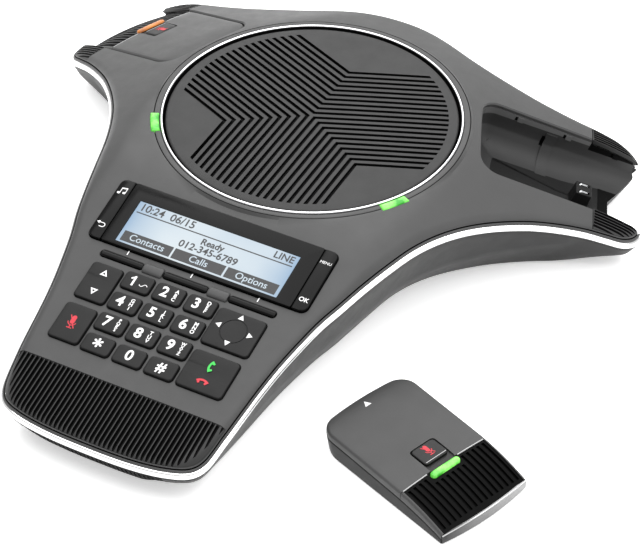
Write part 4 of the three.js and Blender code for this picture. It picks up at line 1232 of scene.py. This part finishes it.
def build_pod(label, matrix, light, arrow):
    body, key = f"pod_{label}", f"pod_{label}_button"

    def ring(grow, z_of, corner=POD_CORNER):
        pts = np.array(pod_outline(grow, 90, corner))
        return np.column_stack([pts, z_of(pts[:, 0]) + 0 * pts[:, 0]])

    def add(part, s, material, on=body, node=None, angle=28):
        return piece(f"{label}_pod_{part}", moved(s, matrix), material, body=on,
                     replaces=[f"pod_{label}_{node or part}"] if node != "" else (), angle=angle)
    end_plan = prism(pod_outline(4, POD_LENGTH - 1.4), -5, 40)
    cover_form = pod_body([ring(-2.4, lambda x: seam_z(x) + 0.3), ring(-0.35, lambda x: seam_z(x) + 0.3),
                           ring(0.0, lambda x: seam_z(x) + 0.65)])
    cover = carve(cover_form, box(-5, POD_RIB - 0.15, -40, 40, -5, 40), "INTERSECT")
    add("cover", carve(cover, prism(rounded(15.4, 15.6, 1.9, 6, WELL_X, WELL_Y), 9, 30)), SHELL)
    ribs = carve(cover_form, end_plan, "INTERSECT")
    ribs = carve(ribs, box(POD_RIB + 0.15, 90, -40, 40, -5, 40), "INTERSECT")
    ribs["m"] = [1 if np.mean([abs(ribs["v"][i][1]) for i in f]) > 25.3 else 0 for f in ribs["f"]]
    ribs = carve(ribs, surface_tool(50, 90, -25.2, 25.2, 0.35))
    ribs = carve(ribs, prism(rounded(4.0, 18.0, 1.9, 6, LAMP_X, LAMP_Y), 9, 30))
    grooves = []
    for i in range(-7, 8):
        y = i * 3.3
        start = 61.2 if abs(y - LAMP_Y) < 9.8 else POD_RIB + 1.6
        grooves.append(surface_tool(start, 81.0, y - 0.8, y + 0.8, 1.6))
    ribs = carve(ribs, join(*grooves))
    add("mic_grille", ribs, [RIBS, SHELL], angle=24)
    # A light line painted along the cover's edge where the ribs begin: a painted highlight.
    border = [(55.5, y) for y in (-25.2, LAMP_Y - 9.6, LAMP_Y + 9.6, 25.2)]
    lines = []
    for (x, y0), (_, y1) in (border[:2], border[2:]):
        section = ((-0.2, -0.6), (0.25, -0.6), (0.25, 0.02), (-0.2, 0.02))
        rows = [[(x + dx, y, float(pod_top(x, y)) + dz) for dx, dz in section]
                for y in np.linspace(y0, y1, 8)]
        lines.append(loft(rows))
    add("border_highlight", join(*lines), PAINTED_HIGHLIGHT_LINE, node="")
    low = [ring(-0.9, lambda x: 0.0, 13), ring(-0.35, lambda x: 0.12, 13), ring(-0.05, lambda x: 0.6, 12.6),
           ring(0.0, lambda x: 1.4, 12.2), ring(0.0, lambda x: seam_z(x) - 1.0, 9.4),
           ring(-0.1, lambda x: seam_z(x) - 0.45), ring(-0.5, lambda x: seam_z(x) - 0.15),
           ring(-0.9, lambda x: seam_z(x) - 0.1)]
    base = carve(loft(low, fan=True), end_plan, "INTERSECT")
    base = carve(base, prism(rounded(9.6, 10.4, 1.0, 4, 60.2), -2, 1.6))
    add("base", base, POD_SIDE)
    middle = loft([ring(-1.5, lambda x: seam_z(x) - 0.6), ring(-1.5, lambda x: seam_z(x) + 0.9)], fan=True)
    middle = carve(middle, prism(pod_outline(4, POD_LENGTH - 2), -5, 40), "INTERSECT")
    # A near-black ring set inside the seam: painted shade in the gap between cover and base.
    add("seam", middle, GROOVE_SHADE, node="")
    tray = prism(rounded(15.1, 15.3, 1.8, 6, WELL_X, WELL_Y), 9.2, 12.5)
    add("well", tray, BLACK, node="")
    button = cap_block(11.2, 14.2, 1.9, 10.4, 14.0, 0.7, 0.1, 46.3, WELL_Y)
    add("mute_button", button, BLACK, on=key)
    mark = at(mute_icon(1.2), 45.4, WELL_Y, 14.03, 90)
    add("mute_mark", mark, RED_INK, on=key, node="")
    # A light line painted along the button's front edge: a painted highlight.
    edge_highlight = at(bar(0, -6.2, 0, 6.2, 0.34), 50.8, WELL_Y, 14.02)
    add("button_highlight", edge_highlight, PAINTED_HIGHLIGHT_LINE, on=key, node="")
    levels = ((9.8, 0), (13.0, 0), (13.5, -0.25), (13.8, -0.7), (13.9, -1.2))
    add("light_bar", stack(3.5, 17.4, 1.7, levels, LAMP_X, LAMP_Y), light)
    if arrow:
        mark = at(flat(triangle(2.1, 180)), 5.2, -1.2, float(pod_top(5.2, 0)) + 0.01)
        add("arrow", mark, WHITE_INK, node="")
    # The trim's face takes the painted reflection metal, and its rounded top edge keeps the bright silver.
    add("end_trim", end_trim(), [TRIM_PAINTED_REFLECTION, SILVER], angle=40)


def end_trim():
    """The bright bar across a pod's outer end: a bowed strip with softened edges."""
    rows = []
    for y in np.linspace(-26.4, 26.4, 53):
        outer, top = POD_LENGTH - POD_BULGE * (y / POD_HALF) ** 2, float(pod_top(84, y)) + 0.1
        inner = outer - 1.3
        section = [(inner, 0.5), (outer - 0.5, 0.5), (outer - 0.12, 0.7), (outer, 1.2), (outer, top - 1.2),
                   (outer - 0.2, top - 0.4), (outer - 0.6, top), (inner, top)]
        rows.append([(x, y, z) for x, z in section])
    trim = loft(rows)
    count = len(rows[0])
    # Faces on the rounded top edge take the bright silver. The rest take the darker metal with painted
    # reflection.
    trim["m"] = [1 if len(f) == 4 and {i % count for i in f} == {5, 6} else 0 for f in trim["f"]]
    return trim


# ---------- back, feet and inside ----------
def build_back_and_feet():
    block = box(-23.6, 23.6, 78, 90.2, 25, 41)
    block = carve(block, join(box(-19, -6, 84, 100, 28, 38.6), box(-2, 8, 84, 100, 29, 37.6)))
    inward, outward_turn = (Matrix.Rotation(q * math.pi / 2, 4, "X") for q in (1, -1))
    jack = turned([(3.2, -6), (3.2, 6)], 48)
    block = carve(block, moved(jack, Matrix.Translation((16, 90, 33.4)) @ inward))
    piece("connector_block", block, BLACK, replaces=["rear_connectors"])
    pins = [box(-17.2 + i * 1.27, -16.7 + i * 1.27, 84.4, 88.6, 36.4, 36.9) for i in range(8)]
    pins += [box(-0.2 + i * 1.2, 0.35 + i * 1.2, 84.4, 88.2, 35.6, 36.0) for i in range(6)]
    piece("socket_contacts", join(*pins), GOLD)
    pin = turned([(0.9, -3.2), (0.9, 2.6), (0.6, 3.0)], 24)
    pin = moved(pin, Matrix.Translation((16, 87, 33.4)) @ outward_turn)
    piece("power_pin", pin, STEEL)
    pad = turned([(0.5, 1.2), (9.0, 1.2), (9.0, 0.5), (8.7, 0.12), (8.2, 0.0), (6.6, 0.0), (6.3, 0.25),
                  (5.9, 0.25), (5.6, 0.0), (0.5, 0.0)], 64)
    for name, deg in (("right", -30), ("back", 90), ("left", 210)):
        a = math.radians(deg)
        piece(f"foot_pad_{name}", moved(pad, Matrix.Translation((62 * math.cos(a), 62 * math.sin(a), 0))),
              RUBBER, replaces=[f"foot_{name}"])
    pad = stack(52, 8, 3.6, ((1.2, 0), (0.4, 0), (0.1, -0.25), (0, -0.6)), 0, -178, 8)
    piece("foot_pad_front", pad, RUBBER, replaces=["foot_front"])
    head = turned([(0.3, 2.2), (3.2, 2.2), (3.2, 1.1), (2.8, 0.8), (0.3, 0.75)], 32)
    head = carve(head, union(box(-0.4, 0.4, -2, 2, 0.5, 1.3), box(-2, 2, -0.4, 0.4, 0.5, 1.3)))
    for i, (x, y) in enumerate(((-34, 40), (34, 40), (-48, -70), (48, -70), (-30, -150), (30, -150))):
        piece(f"case_screw_{i + 1}", moved(head, Matrix.Translation((x, y, 0))), STEEL)
    levels = ((1.7, 0), (1.3, 0), (1.2, 0.2))
    plate = loft([ring_at(rounded(70 - 2 * d, 34 - 2 * d, 3, 6, 0, -35), z) for z, d in levels])
    piece("blank_rating_plate", plate, GREY_INK)


def paint_inner_nodes():
    inside = {"driver_cone": CONE, "driver_frame": STEEL, "keypad_mat": RUBBER, "main_board": BOARD}
    for node, material in inside.items():
        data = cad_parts[node].data
        data.materials.clear()
        data.materials.append(material)


# ---------- floor, lights and camera ----------
def area_light(name, at_point, width, height, energy):
    """A soft rectangle of light that faces the part."""
    light = bpy.data.lights.new(name, "AREA")
    light.shape, light.size, light.size_y, light.energy = "RECTANGLE", width, height, energy
    o = bpy.data.objects.new(name, light)
    bpy.context.scene.collection.objects.link(o)
    o.location = at_point
    o.rotation_euler = (-Vector(at_point)).to_track_quat("-Z", "Y").to_euler()
    return o


def build_studio():
    floor = bpy.data.meshes.new("floor")
    floor.from_pydata([(-6, -6, 0), (6, -6, 0), (6, 6, 0), (-6, 6, 0)], [], [(0, 1, 2, 3)])
    n = Nodes("pale_floor")
    n.feed(n.mix(n.noise(6, 2.0), linear("f7f7f7"), linear("ffffff")), "Base Color")
    n.fix("Roughness", 0.9)
    n.fix("Specular IOR Level", 0.0)
    n.fix("Emission Color", (1, 1, 1, 1))
    n.fix("Emission Strength", 0.4)
    floor.materials.append(n.material)
    o = bpy.data.objects.new("floor", floor)
    o.location.z = -0.0002
    bpy.context.scene.collection.objects.link(o)
    world = bpy.data.worlds.new("studio")
    bpy.context.scene.world = world
    world.use_nodes = True
    sky = world.node_tree.nodes["Background"].inputs
    sky["Color"].default_value = (1, 1, 1, 1)
    sky["Strength"].default_value = 0.8
    area_light("overhead_softbox", (0, 0.15, 1.6), 2.4, 2.4, 46)
    area_light("back_softbox", (-0.6, 1.5, 1.0), 1.6, 0.9, 12)
    area_light("right_softbox", (1.5, 0.4, 1.0), 1.0, 1.0, 6)
    bpy.context.scene.view_settings.view_transform = "Standard"


def build_camera():
    """The camera stands at azimuth 27.5 and elevation 41.65 degrees, turned by 0.4 degrees."""
    az, el, roll = math.radians(27.496), math.radians(41.649), math.radians(0.411)
    right = Vector((math.cos(az), math.sin(az), 0))
    forward = Vector((-math.sin(az) * math.cos(el), math.cos(az) * math.cos(el), -math.sin(el)))
    up = Vector((-math.sin(az) * math.sin(el), math.cos(az) * math.sin(el), math.cos(el)))
    ring = Vector((0, 0, RING_Z))
    place = ring - (-4.44 * right + 78.40 * up + 1313.87 * forward)
    side = right * math.cos(roll) + up * math.sin(roll)
    top = up * math.cos(roll) - right * math.sin(roll)
    camera = bpy.data.cameras.new("camera")
    camera.lens, camera.sensor_width = 148.06, 36.0
    camera.clip_start, camera.clip_end = 0.05, 50.0
    o = bpy.data.objects.new("camera", camera)
    bpy.context.scene.collection.objects.link(o)
    o.matrix_world = Matrix((
        (side.x, top.x, -forward.x, place.x * MM), (side.y, top.y, -forward.y, place.y * MM),
        (side.z, top.z, -forward.z, place.z * MM), (0, 0, 0, 1)))
    bpy.context.scene.camera = o


build_camera()
build_studio()
build_top_shell()
build_status_lights()
build_bottom_shell()
build_nose()
build_band()
build_speaker()
build_display()
build_display_marks()
build_keys()
build_softkeys()
slab = skin_slab(-0.45, 3.0)
build_ribs(slab)
build_docks(slab)
build_pod("docked", dock_matrix(180 - MIC_ANGLE), AMBER, False)
free_matrix = Matrix.Translation((92.5, -125.3, 0.05)) @ Matrix.Rotation(math.radians(-20.5), 4, "Z")
build_pod("free", free_matrix, GREEN, True)
build_back_and_feet()
paint_inner_nodes()
